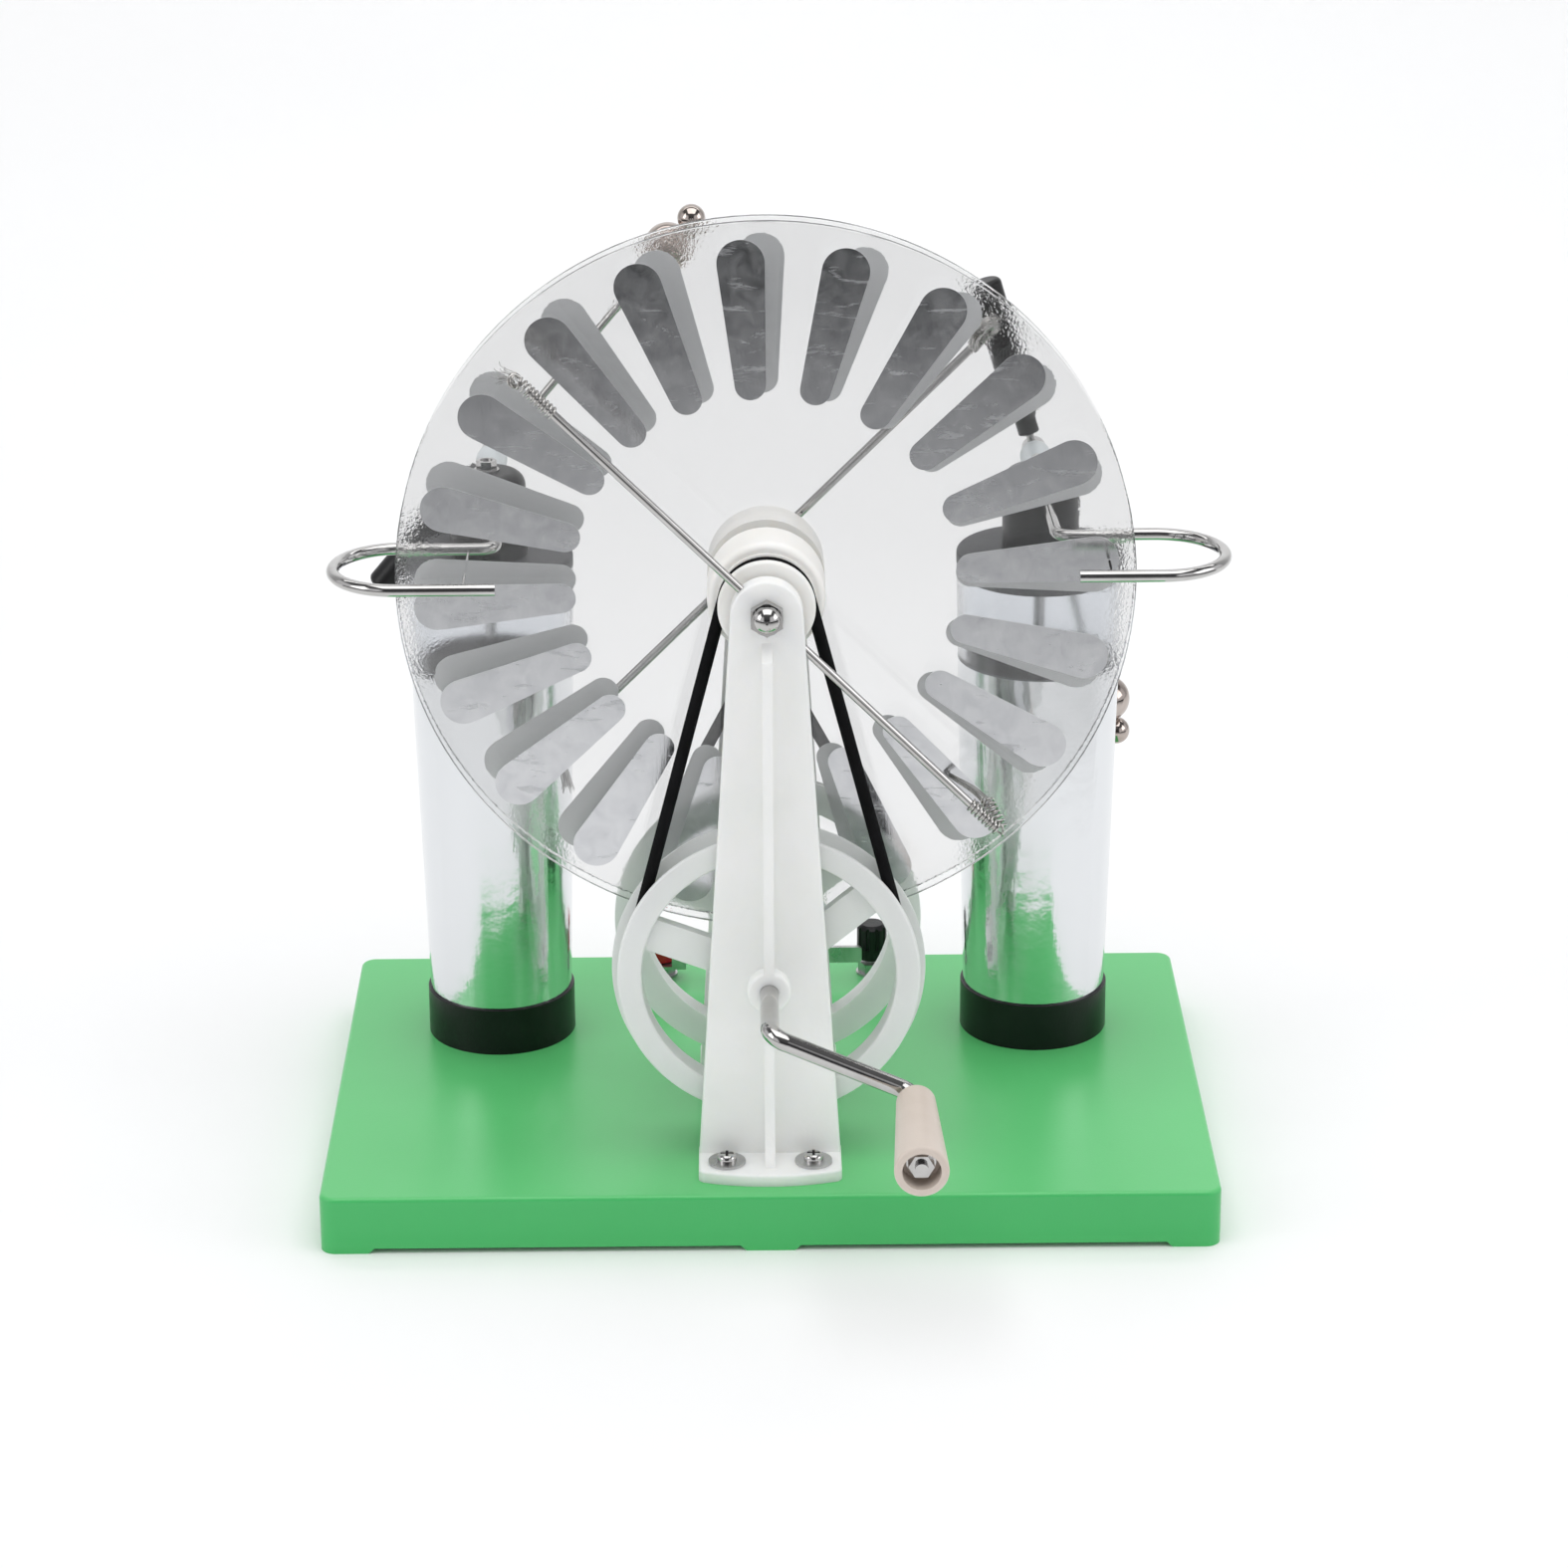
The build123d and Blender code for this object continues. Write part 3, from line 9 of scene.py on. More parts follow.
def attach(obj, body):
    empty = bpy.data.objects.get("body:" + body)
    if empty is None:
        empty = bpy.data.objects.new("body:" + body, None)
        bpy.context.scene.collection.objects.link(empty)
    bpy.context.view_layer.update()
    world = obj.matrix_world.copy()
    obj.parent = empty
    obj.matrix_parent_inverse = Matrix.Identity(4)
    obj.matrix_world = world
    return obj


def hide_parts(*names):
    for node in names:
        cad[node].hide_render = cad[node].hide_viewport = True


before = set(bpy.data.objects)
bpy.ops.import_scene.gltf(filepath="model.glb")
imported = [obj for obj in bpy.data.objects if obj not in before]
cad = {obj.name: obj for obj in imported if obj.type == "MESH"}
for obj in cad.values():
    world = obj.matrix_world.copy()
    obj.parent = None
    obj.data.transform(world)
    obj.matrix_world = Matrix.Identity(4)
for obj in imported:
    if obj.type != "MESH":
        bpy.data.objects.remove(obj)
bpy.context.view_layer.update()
scene = bpy.context.scene


# The machine stands on a plain white table in a bright room, seen a little from above.
# The camera is far off with a long lens, so the sides of the tray draw in only slightly.
picture_width_mm = 36.0
lens_mm = 106.24
camera_spot = (-0.00695, -1.4314, 0.6792)
degrees_aside, degrees_down, degrees_leaning = -0.508, 21.23, -0.275
clear_layers = 24
light_bounces = 16
camera = bpy.data.objects.new("camera", bpy.data.cameras.new("camera"))
camera.data.sensor_width = picture_width_mm
camera.data.lens = lens_mm
camera.data.clip_end = 20.0
camera.matrix_world = (
    Matrix.Translation(camera_spot)
    @ Matrix.Rotation(math.radians(degrees_aside), 4, "Z")
    @ Matrix.Rotation(math.radians(90 - degrees_down), 4, "X")
    @ Matrix.Rotation(math.radians(degrees_leaning), 4, "Z")
)
scene.collection.objects.link(camera)
scene.camera = camera
scene.view_settings.view_transform = "Standard"
scene.cycles.transparent_max_bounces = clear_layers
scene.cycles.max_bounces = light_bounces
scene.cycles.transmission_bounces = light_bounces


# The table is one pale sheet that curves up behind the machine, so no corner shows.
# It is matt, and its tone varies a touch in soft clouds.
table_half_width = 6.0
table_front = -7.0
table_back = 1.5
curve_radius = 0.8
curve_steps = 12
backdrop_top = 3.2
table_cloud_scale = 1.4
table_tones = (0.92, 0.96)


def linear(red, green, blue):
    """A colour as a paint chart gives it, 0 to 255, in the scene's linear values."""
    channels = [c / 255 for c in (red, green, blue)]
    return tuple(c / 12.92 if c <= 0.04045 else ((c + 0.055) / 1.055) ** 2.4 for c in channels)


def shader_of(material):
    """The one shader that a finish ends in."""
    return material.node_tree.nodes["Principled BSDF"]


def finish(name, colour, roughness, sockets=()):
    """A new material whose shader has its plain numbers set, ready for its pattern."""
    material = bpy.data.materials.new(name)
    material.use_nodes = True
    shader = shader_of(material)
    shader.inputs["Base Color"].default_value = (*linear(*colour), 1.0)
    shader.inputs["Roughness"].default_value = roughness
    for label, value in dict(sockets).items():
        shader.inputs[label].default_value = value
    return material


def add(tree, kind, sockets=(), **settings):
    """A new node with its own settings, and its sockets' plain values by label or number."""
    node = tree.nodes.new("ShaderNode" + kind)
    for setting, value in settings.items():
        setattr(node, setting, value)
    for label, value in dict(sockets).items():
        node.inputs[label].default_value = value
    return node


def join(start, output, end, entry):
    """Leads one node's output into another's input."""
    start.id_data.links.new(start.outputs[output], end.inputs[entry])


sheet = bmesh.new()
sheet_line = [(table_front, 0.0), (table_back, 0.0)]
for step in range(1, curve_steps + 1):
    turn = math.radians(90 * step / curve_steps)
    sheet_line.append((
        table_back + curve_radius * math.sin(turn),
        curve_radius - curve_radius * math.cos(turn),
    ))
sheet_line.append((table_back + curve_radius, backdrop_top))
sheet_edge = [sheet.verts.new((-table_half_width, y, z)) for y, z in sheet_line]
edges = [sheet.edges.new(pair) for pair in zip(sheet_edge, sheet_edge[1:])]
bmesh.ops.extrude_edge_only(sheet, edges=edges)
moved = [v for v in sheet.verts if v not in sheet_edge]
bmesh.ops.translate(sheet, verts=moved, vec=(2 * table_half_width, 0, 0))
bmesh.ops.recalc_face_normals(sheet, faces=sheet.faces)
for face in sheet.faces:
    face.smooth = True
table_mesh = bpy.data.meshes.new("table")
sheet.to_mesh(table_mesh)
table = bpy.data.objects.new("table", table_mesh)
scene.collection.objects.link(table)
table_paper = finish("table paper", (250, 250, 250), 0.9, {"Specular IOR Level": 0.1})
tree = table_paper.node_tree
where = add(tree, "TexCoord")
cloud = add(tree, "TexNoise", {"Scale": table_cloud_scale})
tone = add(tree, "MapRange", {"To Min": table_tones[0], "To Max": table_tones[1]})
join(where, "Object", cloud, "Vector")
join(cloud, "Fac", tone, "Value")
join(tone, "Result", shader_of(table_paper), "Base Color")
table_mesh.materials.append(table_paper)


# A dark card lies on the table round the machine, hidden from the camera, from diffuse light and
# from shadows.
# Only polished things see it: its graded tones paint dark reflections, and give the rods and the
# upper foil sectors their dark tones.
cloth_size = (5.0, 2.44)
cloth_middle = (0, -1.18, 0.004)
palest_spot = (-0.12, 0.1, 0.0)
cloth_fade_reach = 1.6
cloth_tones = (
    (0.28, 0.92), (0.375, 0.78), (0.45, 0.63), (0.52, 0.45), (0.594, 0.39),
    (0.656, 0.36), (0.7, 0.27), (0.731, 0.17), (0.769, 0.06), (0.85, 0.02),
)


def ramp(tree, stops):
    """A colour ramp through its stops, each a place from 0 to 1 and a linear colour."""
    node = add(tree, "ValToRGB")
    elements = node.color_ramp.elements
    for end, (spot, colour) in ((0, stops[0]), (1, stops[-1])):
        elements[end].position = spot
        elements[end].color = (*colour, 1)
    for spot, colour in stops[1:-1]:
        elements.new(spot).color = (*colour, 1)
    return node


cloth = bmesh.new()
bmesh.ops.create_grid(cloth, x_segments=1, y_segments=1, size=0.5)
bmesh.ops.scale(cloth, vec=(*cloth_size, 1.0), verts=cloth.verts)
bmesh.ops.translate(cloth, vec=cloth_middle, verts=cloth.verts)
cloth_mesh = bpy.data.meshes.new("card")
cloth.to_mesh(cloth_mesh)
reflection_only_card = bpy.data.objects.new("card", cloth_mesh)
scene.collection.objects.link(reflection_only_card)
reflection_only_card.visible_camera = False
reflection_only_card.visible_diffuse = False
reflection_only_card.visible_shadow = False
reflection_card_paint = finish("card paper", (60, 60, 62), 0.9, {"Specular IOR Level": 0.1})
tree = reflection_card_paint.node_tree
where = add(tree, "TexCoord")
round_machine = add(
    tree, "Mapping", {"Location": palest_spot, "Scale": (cloth_fade_reach,) * 3},
    vector_type="TEXTURE",
)
distance = add(tree, "VectorMath", operation="LENGTH")
fade = ramp(tree, [(spot, (grey, grey, grey)) for spot, grey in cloth_tones])
ray = add(tree, "LightPath")
mirrored = add(tree, "Math", {1: 1.0}, operation="MINIMUM")
join(where, "Object", round_machine, "Vector")
join(round_machine, "Vector", distance, 0)
join(distance, "Value", fade, "Fac")
join(fade, "Color", shader_of(reflection_card_paint), "Base Color")
join(ray, "Glossy Depth", mirrored, 0)
join(mirrored, "Value", shader_of(reflection_card_paint), "Alpha")
cloth_mesh.materials.append(reflection_card_paint)


# Soft light comes from a wide sheet overhead, one over the backdrop and two tall ones aside.
# Polished things see the studio itself: dark all round, with a white screen low on either side.
room_white = (0.95, 0.96, 0.98, 1)
screen_white = (1.5, 1.5, 1.54, 1)
room_dark_low = (0.5, (0.05, 0.05, 0.055))
room_dark_high = (0.95, (0.3, 0.3, 0.31))
room_strength = 0.5
screen_edge = (0.34, 0.46)
screen_top = (0.62, 0.45)
world = bpy.data.worlds.new("room")
scene.world = world
world.use_nodes = True
tree = world.node_tree
background = tree.nodes["Background"]
background.inputs["Strength"].default_value = room_strength
where = add(tree, "TexCoord")
apart = add(tree, "SeparateXYZ")
bands = ramp(tree, [room_dark_low, room_dark_high])
half_up = add(tree, "MapRange", {"From Min": -1.0})
sideways = add(tree, "Math", operation="ABSOLUTE")
screens = add(tree, "MapRange", {"From Min": screen_edge[0], "From Max": screen_edge[1]})
lower_half = add(tree, "MapRange", {"From Min": screen_top[0], "From Max": screen_top[1]})
lit_screens = add(tree, "Math", operation="MULTIPLY")
dark_room = add(tree, "Mix", {"B": screen_white}, data_type="RGBA")
ray = add(tree, "LightPath")
room = add(tree, "Mix", {"A": room_white}, data_type="RGBA")
join(where, "Generated", apart, "Vector")
join(apart, "Z", half_up, "Value")
join(half_up, "Result", bands, "Fac")
join(apart, "X", sideways, 0)
join(sideways, "Value", screens, "Value")
join(apart, "Z", lower_half, "Value")
join(screens, "Result", lit_screens, 0)
join(lower_half, "Result", lit_screens, 1)
join(lit_screens, "Value", dark_room, "Factor")
join(bands, "Color", dark_room, "A")
join(ray, "Is Glossy Ray", room, "Factor")
join(dark_room, "Result", room, "B")
join(room, "Result", background, "Color")
# place, turn in degrees, width and depth, watts
soft_lights = {
    "overhead sheet": ((0.1, -0.35, 1.75), (0, 0, 0), (1.7, 1.5), 15.5),
    "backdrop sheet": ((0.0, 1.1, 1.9), (38, 0, 0), (3.4, 1.0), 20.0),
    "left sheet": ((-1.5, -0.9, 0.9), (0, -75, -30), (1.0, 1.3), 8.0),
    "right sheet": ((1.55, -0.6, 0.8), (0, 75, 22), (0.8, 1.2), 5.0),
}
for name, (spot, turn, size, power) in soft_lights.items():
    lamp = bpy.data.lights.new(name, "AREA")
    lamp.shape = "RECTANGLE"
    lamp.size, lamp.size_y = size
    lamp.energy = power
    holder = bpy.data.objects.new(name, lamp)
    holder.location = spot
    holder.rotation_euler = [math.radians(a) for a in turn]
    scene.collection.objects.link(holder)


# The tray is one injection moulding in green plastic, with rounded edges and ribs below.
# Its skin is satin with a very fine spark-eroded grain and a slight flow mottle, and its
# sides are painted a deeper green than its top, as painted shade.
mould_grain_depth = 0.0002
tray_green = (92, 200, 116)
painted_shade_side_green = (70, 188, 104)


def coat(material, *names):
    """Gives a material to CAD nodes."""
    for name in names:
        for slot in cad[name].material_slots:
            slot.material = material


def new_group(name, inputs, outputs):
    """An empty effect group: entries have a label, a kind and a value, and outputs no value."""
    group = bpy.data.node_groups.new(name, "ShaderNodeTree")
    for label, kind, value in inputs:
        socket = group.interface.new_socket(label, in_out="INPUT", socket_type=kind)
        if value is not None:
            socket.default_value = value
    for label, kind in outputs:
        group.interface.new_socket(label, in_out="OUTPUT", socket_type=kind)
    return group, group.nodes.new("NodeGroupInput"), group.nodes.new("NodeGroupOutput")


moulded_skin, skin_in, skin_out = new_group(
    "moulded skin",
    [
        ("Vector", "NodeSocketVector", None),
        ("Grain Scale", "NodeSocketFloat", 900.0),
        ("Flow Scale", "NodeSocketFloat", 12.0),
    ],
    [("Grain", "NodeSocketFloat"), ("Flow", "NodeSocketFloat")],
)
grain_noise = add(moulded_skin, "TexNoise", {"Detail": 3.0})
flow_noise = add(moulded_skin, "TexNoise", {"Detail": 3.0, "Distortion": 0.2})
for noise, effect in ((grain_noise, "Grain"), (flow_noise, "Flow")):
    join(skin_in, "Vector", noise, "Vector")
    join(skin_in, effect + " Scale", noise, "Scale")
    join(noise, "Fac", skin_out, effect)


def moulded(material, light, dark, grain, flow, bump, roughness):
    """Gives a plastic its moulded skin: two close tones, fine grain and uneven gloss."""
    tree = material.node_tree
    shader = shader_of(material)
    where = add(tree, "TexCoord")
    skin = add(tree, "Group", {"Grain Scale": grain, "Flow Scale": flow}, node_tree=moulded_skin)
    tones = ramp(tree, [(0.35, linear(*dark)), (0.65, linear(*light))])
    gloss = add(tree, "MapRange", {"To Min": roughness[0], "To Max": roughness[1]})
    relief = add(tree, "Bump", {"Strength": bump, "Distance": mould_grain_depth})
    join(where, "Object", skin, "Vector")
    join(skin, "Flow", tones, "Fac")
    join(tones, "Color", shader, "Base Color")
    join(skin, "Flow", gloss, "Value")
    join(gloss, "Result", shader, "Roughness")
    join(skin, "Grain", relief, "Height")
    join(relief, "Normal", shader, "Normal")
    return tones


tray_plastic = finish("green tray plastic", tray_green, 0.3)
flowed = moulded(
    tray_plastic, light=(97, 202, 121), dark=(91, 197, 115),
    grain=1600.0, flow=9.0, bump=0.2, roughness=(0.26, 0.32),
)
tree = tray_plastic.node_tree
# Painted shade: faces that don't point up get a deeper green than the top.
where = add(tree, "TexCoord")
apart = add(tree, "SeparateXYZ")
upward = add(tree, "MapRange", {"From Min": 0.3, "From Max": 0.9})
painted_side_shade = add(tree, "Mix", {"A": (*linear(*painted_shade_side_green), 1)}, data_type="RGBA")
join(where, "Normal", apart, "Vector")
join(apart, "Z", upward, "Value")
join(upward, "Result", painted_side_shade, "Factor")
join(flowed, "Color", painted_side_shade, "B")
join(painted_side_shade, "Result", shader_of(tray_plastic), "Base Color")
coat(tray_plastic, "base")


# The two uprights and both drive wheels are cast in natural nylon, which lets light in.
# The wheels are a little greyer than the uprights, and the skin has a soft satin sheen.
nylon = finish("natural nylon", (238, 239, 236), 0.42, {
    "Subsurface Weight": 0.45, "Subsurface Radius": (1.0, 0.95, 0.85), "Subsurface Scale": 0.004,
    "IOR": 1.53,
})
moulded(
    nylon, light=(250, 250, 248), dark=(243, 244, 242),
    grain=700.0, flow=26.0, bump=0.3, roughness=(0.36, 0.5),
)
coat(nylon, "front_upright", "rear_upright")
wheel_nylon = finish("wheel nylon", (234, 236, 234), 0.4, {
    "Subsurface Weight": 0.5, "Subsurface Radius": (1.0, 1.0, 0.9), "Subsurface Scale": 0.005,
    "IOR": 1.53,
})
moulded(
    wheel_nylon, light=(238, 240, 238), dark=(231, 233, 231),
    grain=700.0, flow=26.0, bump=0.3, roughness=(0.34, 0.46),
)
coat(wheel_nylon, "front_drive_wheel", "rear_drive_wheel")


# The hubs are turned from a whiter, slightly warm nylon, and so is the spacer between them.
# They are pressed tight against the discs, so light gets to the joint from inside as well.
def light_rays(tree):
    """A node that gives 1 for the rays that gather light for a surface, and 0 for those seen."""
    ray = add(tree, "LightPath")
    either = add(tree, "Math", operation="MAXIMUM")
    join(ray, "Is Shadow Ray", either, 0)
    join(ray, "Is Diffuse Ray", either, 1)
    return either


def lit_from_inside(material):
    """Lets light through a skin from behind, for a piece that lies tight against a clear one."""
    tree = material.node_tree
    side = add(tree, "NewGeometry")
    leaving = add(tree, "Math", operation="MULTIPLY")
    closed = add(tree, "Math", {0: 1.0}, operation="SUBTRACT")
    join(light_rays(tree), "Value", leaving, 0)
    join(side, "Backfacing", leaving, 1)
    join(leaving, "Value", closed, 1)
    join(closed, "Value", shader_of(material), "Alpha")


hub_nylon = finish("turned nylon", (236, 234, 229), 0.38, {
    "Subsurface Weight": 0.35, "Subsurface Radius": (1.0, 0.9, 0.8), "Subsurface Scale": 0.003,
})
moulded(
    hub_nylon, light=(251, 249, 245), dark=(246, 243, 238),
    grain=900.0, flow=30.0, bump=0.2, roughness=(0.32, 0.44),
)
lit_from_inside(hub_nylon)
coat(hub_nylon, "front_hub", "rear_hub", "disc_spacer")


# Every rod, comb, nut and the crank are steel with bright nickel plate.
# The plate is nearly a mirror, with faint smears and hair-fine polishing marks.
polish_depth = 0.0001
metal_marks, marks_in, marks_out = new_group(
    "metal marks",
    [
        ("Vector", "NodeSocketVector", None),
        ("Hair Scale", "NodeSocketFloat", 400.0),
        ("Smear Scale", "NodeSocketFloat", 40.0),
    ],
    [("Hair", "NodeSocketFloat"), ("Smear", "NodeSocketFloat")],
)
stretch = add(metal_marks, "Mapping", {"Scale": (1.0, 1.0, 0.12)})
hair_noise = add(metal_marks, "TexNoise", {"Detail": 4.0})
smear_noise = add(metal_marks, "TexNoise", {"Detail": 3.0, "Distortion": 0.8})
join(marks_in, "Vector", stretch, "Vector")
join(stretch, "Vector", hair_noise, "Vector")
join(marks_in, "Vector", smear_noise, "Vector")
for noise, effect in ((hair_noise, "Hair"), (smear_noise, "Smear")):
    join(marks_in, effect + " Scale", noise, "Scale")
    join(noise, "Fac", marks_out, effect)


def marked(material, light, dark, hair, smear, bump, roughness):
    """Gives a metal its marks: hairlines, and smears that dull and darken it a little."""
    tree = material.node_tree
    shader = shader_of(material)
    where = add(tree, "TexCoord")
    marks = add(tree, "Group", {"Hair Scale": hair, "Smear Scale": smear}, node_tree=metal_marks)
    tones = ramp(tree, [(0.3, linear(*dark)), (0.7, linear(*light))])
    gloss = add(tree, "MapRange", {
        "From Min": 0.3, "From Max": 0.7, "To Min": roughness[0], "To Max": roughness[1],
    })
    relief = add(tree, "Bump", {"Strength": bump, "Distance": polish_depth})
    join(where, "Object", marks, "Vector")
    join(marks, "Smear", tones, "Fac")
    join(tones, "Color", shader, "Base Color")
    join(marks, "Smear", gloss, "Value")
    join(gloss, "Result", shader, "Roughness")
    join(marks, "Hair", relief, "Height")
    join(relief, "Normal", shader, "Normal")
    return tones, gloss


nickel = finish("bright nickel plate", (198, 197, 196), 0.08, {"Metallic": 1.0})
marked(
    nickel, light=(204, 203, 202), dark=(188, 186, 184),
    hair=700.0, smear=60.0, bump=0.08, roughness=(0.04, 0.12),
)
coat(
    nickel, "crank_shaft", "crank_pin_nut", "shaft_collar", "set_screws", "main_axle",
    "axle_cap_nuts", "front_neutraliser_rod", "rear_neutraliser_rod", "left_comb", "right_comb",
    "comb_needles", "left_discharge_rod", "right_discharge_rod", "pivot_screws", "contact_rods",
    "dome_finials", "foot_screws", "jar_screws",
)


# The balls on the discharge rods are turned from steel and plated.
# Their plate is given a slightly warmer tint than the other plated parts.
ball_plate = finish("warm ball plate", (190, 182, 177), 0.07, {"Metallic": 1.0})
marked(
    ball_plate, light=(198, 189, 183), dark=(178, 166, 159),
    hair=700.0, smear=90.0, bump=0.08, roughness=(0.04, 0.11),
)
coat(ball_plate, "left_discharge_balls", "right_discharge_balls")


# Washers, terminal studs, the link and the strips under the tray are plain stamped metal.
# They are duller, with a rolled grain and a few darker handling marks.
stamped = finish("stamped metal", (190, 190, 190), 0.3, {"Metallic": 1.0})
marked(
    stamped, light=(204, 204, 204), dark=(170, 170, 170),
    hair=500.0, smear=90.0, bump=0.2, roughness=(0.22, 0.42),
)
coat(stamped, "foot_washers", "terminal_posts", "link_bar", "jar_leads")


# Each disc is cut from clear acrylic sheet 2 mm thick, drilled in the middle for its hub.
# Its faces are flat and glossy, and ripple a little near the rim, where it was heated in cutting.
axle_z = 0.2075
ripple_start = 0.100
ripple_full = 0.1165
ripple_scale = 1100.0
ripple_depth = 0.00012
acrylic_shadow = 0.12
acrylic = finish("clear acrylic", (245, 245, 245), 0.02, {
    "Transmission Weight": 1.0, "IOR": 1.49, "Specular IOR Level": 0.3,
})
tree = acrylic.node_tree
where = add(tree, "TexCoord")
centred = add(tree, "Mapping", {"Location": (0.0, 0.0, -axle_z)})
flat = add(tree, "VectorMath", {1: (1.0, 0.0, 1.0)}, operation="MULTIPLY")
out_from_axle = add(tree, "VectorMath", operation="LENGTH")
near_rim = add(tree, "MapRange", {"From Min": ripple_start, "From Max": ripple_full})
ripple = add(tree, "TexNoise", {"Scale": ripple_scale, "Detail": 2.0})
rim_ripple = add(tree, "Math", operation="MULTIPLY")
relief = add(tree, "Bump", {"Strength": 0.6, "Distance": ripple_depth})
shade = add(tree, "MapRange", {"To Min": 1.0, "To Max": acrylic_shadow})
join(where, "Object", centred, "Vector")
join(centred, "Vector", flat, 0)
join(flat, "Vector", out_from_axle, 0)
join(out_from_axle, "Value", near_rim, "Value")
join(where, "Object", ripple, "Vector")
join(ripple, "Fac", rim_ripple, 0)
join(near_rim, "Result", rim_ripple, 1)
join(rim_ripple, "Value", relief, "Height")
join(relief, "Normal", shader_of(acrylic), "Normal")
join(light_rays(tree), "Value", shade, "Value")
join(shade, "Result", shader_of(acrylic), "Alpha")
coat(acrylic, "front_disc", "rear_disc")


# The sectors are punched from thin aluminium foil and glued to each disc's outer face.
# The outer side is dull mirror, rubbed down by hand, and the glue makes the inner side pale grey.
glue_grey = (236, 237, 238)
glue_metallic = 0.25
glue_roughness = 0.35


def sector_foil(name, outer_side):
    """Foil whose outer side points to -Y or +Y and shines, while its glued side is satin."""
    material = finish(name, (212, 213, 215), 0.2)
    polished, gloss = marked(
        material, light=(218, 219, 221), dark=(198, 199, 202),
        hair=1300.0, smear=150.0, bump=0.3, roughness=(0.13, 0.22),
    )
    tree = material.node_tree
    shader = shader_of(material)
    where = add(tree, "TexCoord")
    apart = add(tree, "SeparateXYZ")
    bare = add(tree, "MapRange", {"From Min": 0.2 * outer_side, "From Max": 0.6 * outer_side})
    metal = add(tree, "MapRange", {"To Min": glue_metallic})
    sides = add(tree, "Mix", {"A": (*linear(*glue_grey), 1)}, data_type="RGBA")
    strokes = add(tree, "Mapping", {"Scale": (1.0, 1.0, 5.0)})
    rubbed = add(tree, "TexNoise", {
        "Scale": 46.0, "Detail": 9.0, "Roughness": 0.72, "Distortion": 0.7,
    })
    scuffs = add(tree, "MapRange", {"From Min": 0.57, "From Max": 0.70, "To Max": 0.42})
    worn = add(tree, "Math", operation="ADD")
    dulled = add(tree, "Mix", {"A": glue_roughness})
    join(where, "Normal", apart, "Vector")
    join(apart, "Y", bare, "Value")
    join(bare, "Result", metal, "Value")
    join(metal, "Result", shader, "Metallic")
    join(bare, "Result", sides, "Factor")
    join(polished, "Color", sides, "B")
    join(sides, "Result", shader, "Base Color")
    join(where, "Object", strokes, "Vector")
    join(strokes, "Vector", rubbed, "Vector")
    join(rubbed, "Fac", scuffs, "Value")
    join(gloss, "Result", worn, 0)
    join(scuffs, "Result", worn, 1)
    join(bare, "Result", dulled, "Factor")
    join(worn, "Value", dulled, "B")
    join(dulled, "Result", shader, "Roughness")
    lit_from_inside(material)
    return material


coat(sector_foil("front sector foil", -1), "front_sectors")
coat(sector_foil("rear sector foil", 1), "rear_sectors")


# The belts are round black rubber cord, joined into rings and stretched over both pulleys.
# The rubber is matt with a dusty bloom that varies a little at random.
belt_rubber = finish("belt rubber", (14, 14, 15), 0.7, {"Specular IOR Level": 0.1})
moulded(
    belt_rubber, light=(20, 20, 22), dark=(10, 10, 11),
    grain=1500.0, flow=90.0, bump=0.5, roughness=(0.6, 0.8),
)
coat(belt_rubber, "front_belt", "rear_belt")


# The crank's handle is turned from beige plastic, with a recess for the nut on its pin.
# It has a soft gloss from handling, and a faint flow mottle.
grip_beige = finish("beige grip plastic", (214, 200, 188), 0.4, {
    "Coat Weight": 0.1, "Coat Roughness": 0.3,
})
moulded(
    grip_beige, light=(218, 205, 194), dark=(209, 195, 182),
    grain=1200.0, flow=34.0, bump=0.25, roughness=(0.34, 0.46),
)
coat(grip_beige, "crank_grip")


# The jars' base caps, domes, the discharge handles and one terminal cap are black plastic.
# It is semi-gloss, with pale dust in the grain.
black_plastic = finish("black plastic", (18, 18, 20), 0.34, {"Specular IOR Level": 0.35})
moulded(
    black_plastic, light=(24, 24, 26), dark=(14, 14, 15),
    grain=1400.0, flow=40.0, bump=0.3, roughness=(0.26, 0.42),
)
coat(
    black_plastic, "jar_base_caps", "left_jar_dome", "right_jar_dome",
    "left_discharge_handle", "right_discharge_handle", "right_terminal_cap",
)


# The lids are dark grey plastic discs pressed into the jars' mouths.
# Their tops are matt and a little dusty.
lid_grey = finish("lid plastic", (62, 63, 66), 0.5)
moulded(
    lid_grey, light=(74, 75, 78), dark=(56, 57, 60),
    grain=900.0, flow=50.0, bump=0.3, roughness=(0.44, 0.6),
)
coat(lid_grey, "left_jar_lid", "right_jar_lid")


# The left terminal's cap is red plastic, moulded with the same flutes as the black one.
# It has a clean semi-gloss skin.
cap_red = finish("red plastic", (178, 28, 34), 0.34)
moulded(
    cap_red, light=(190, 34, 40), dark=(166, 22, 28),
    grain=1400.0, flow=60.0, bump=0.2, roughness=(0.28, 0.4),
)
coat(cap_red, "left_terminal_cap")


# The arms between the domes and the discharge rods are pale insulating plastic.
# They are slightly translucent, like frosted tube.
pale_arm = finish("pale arm plastic", (212, 218, 220), 0.4, {
    "Subsurface Weight": 0.3, "Subsurface Radius": (0.9, 1.0, 1.0), "Subsurface Scale": 0.003,
})
moulded(
    pale_arm, light=(219, 225, 227), dark=(205, 211, 213),
    grain=900.0, flow=60.0, bump=0.25, roughness=(0.34, 0.46),
)
coat(pale_arm, "left_discharge_arm", "right_discharge_arm")


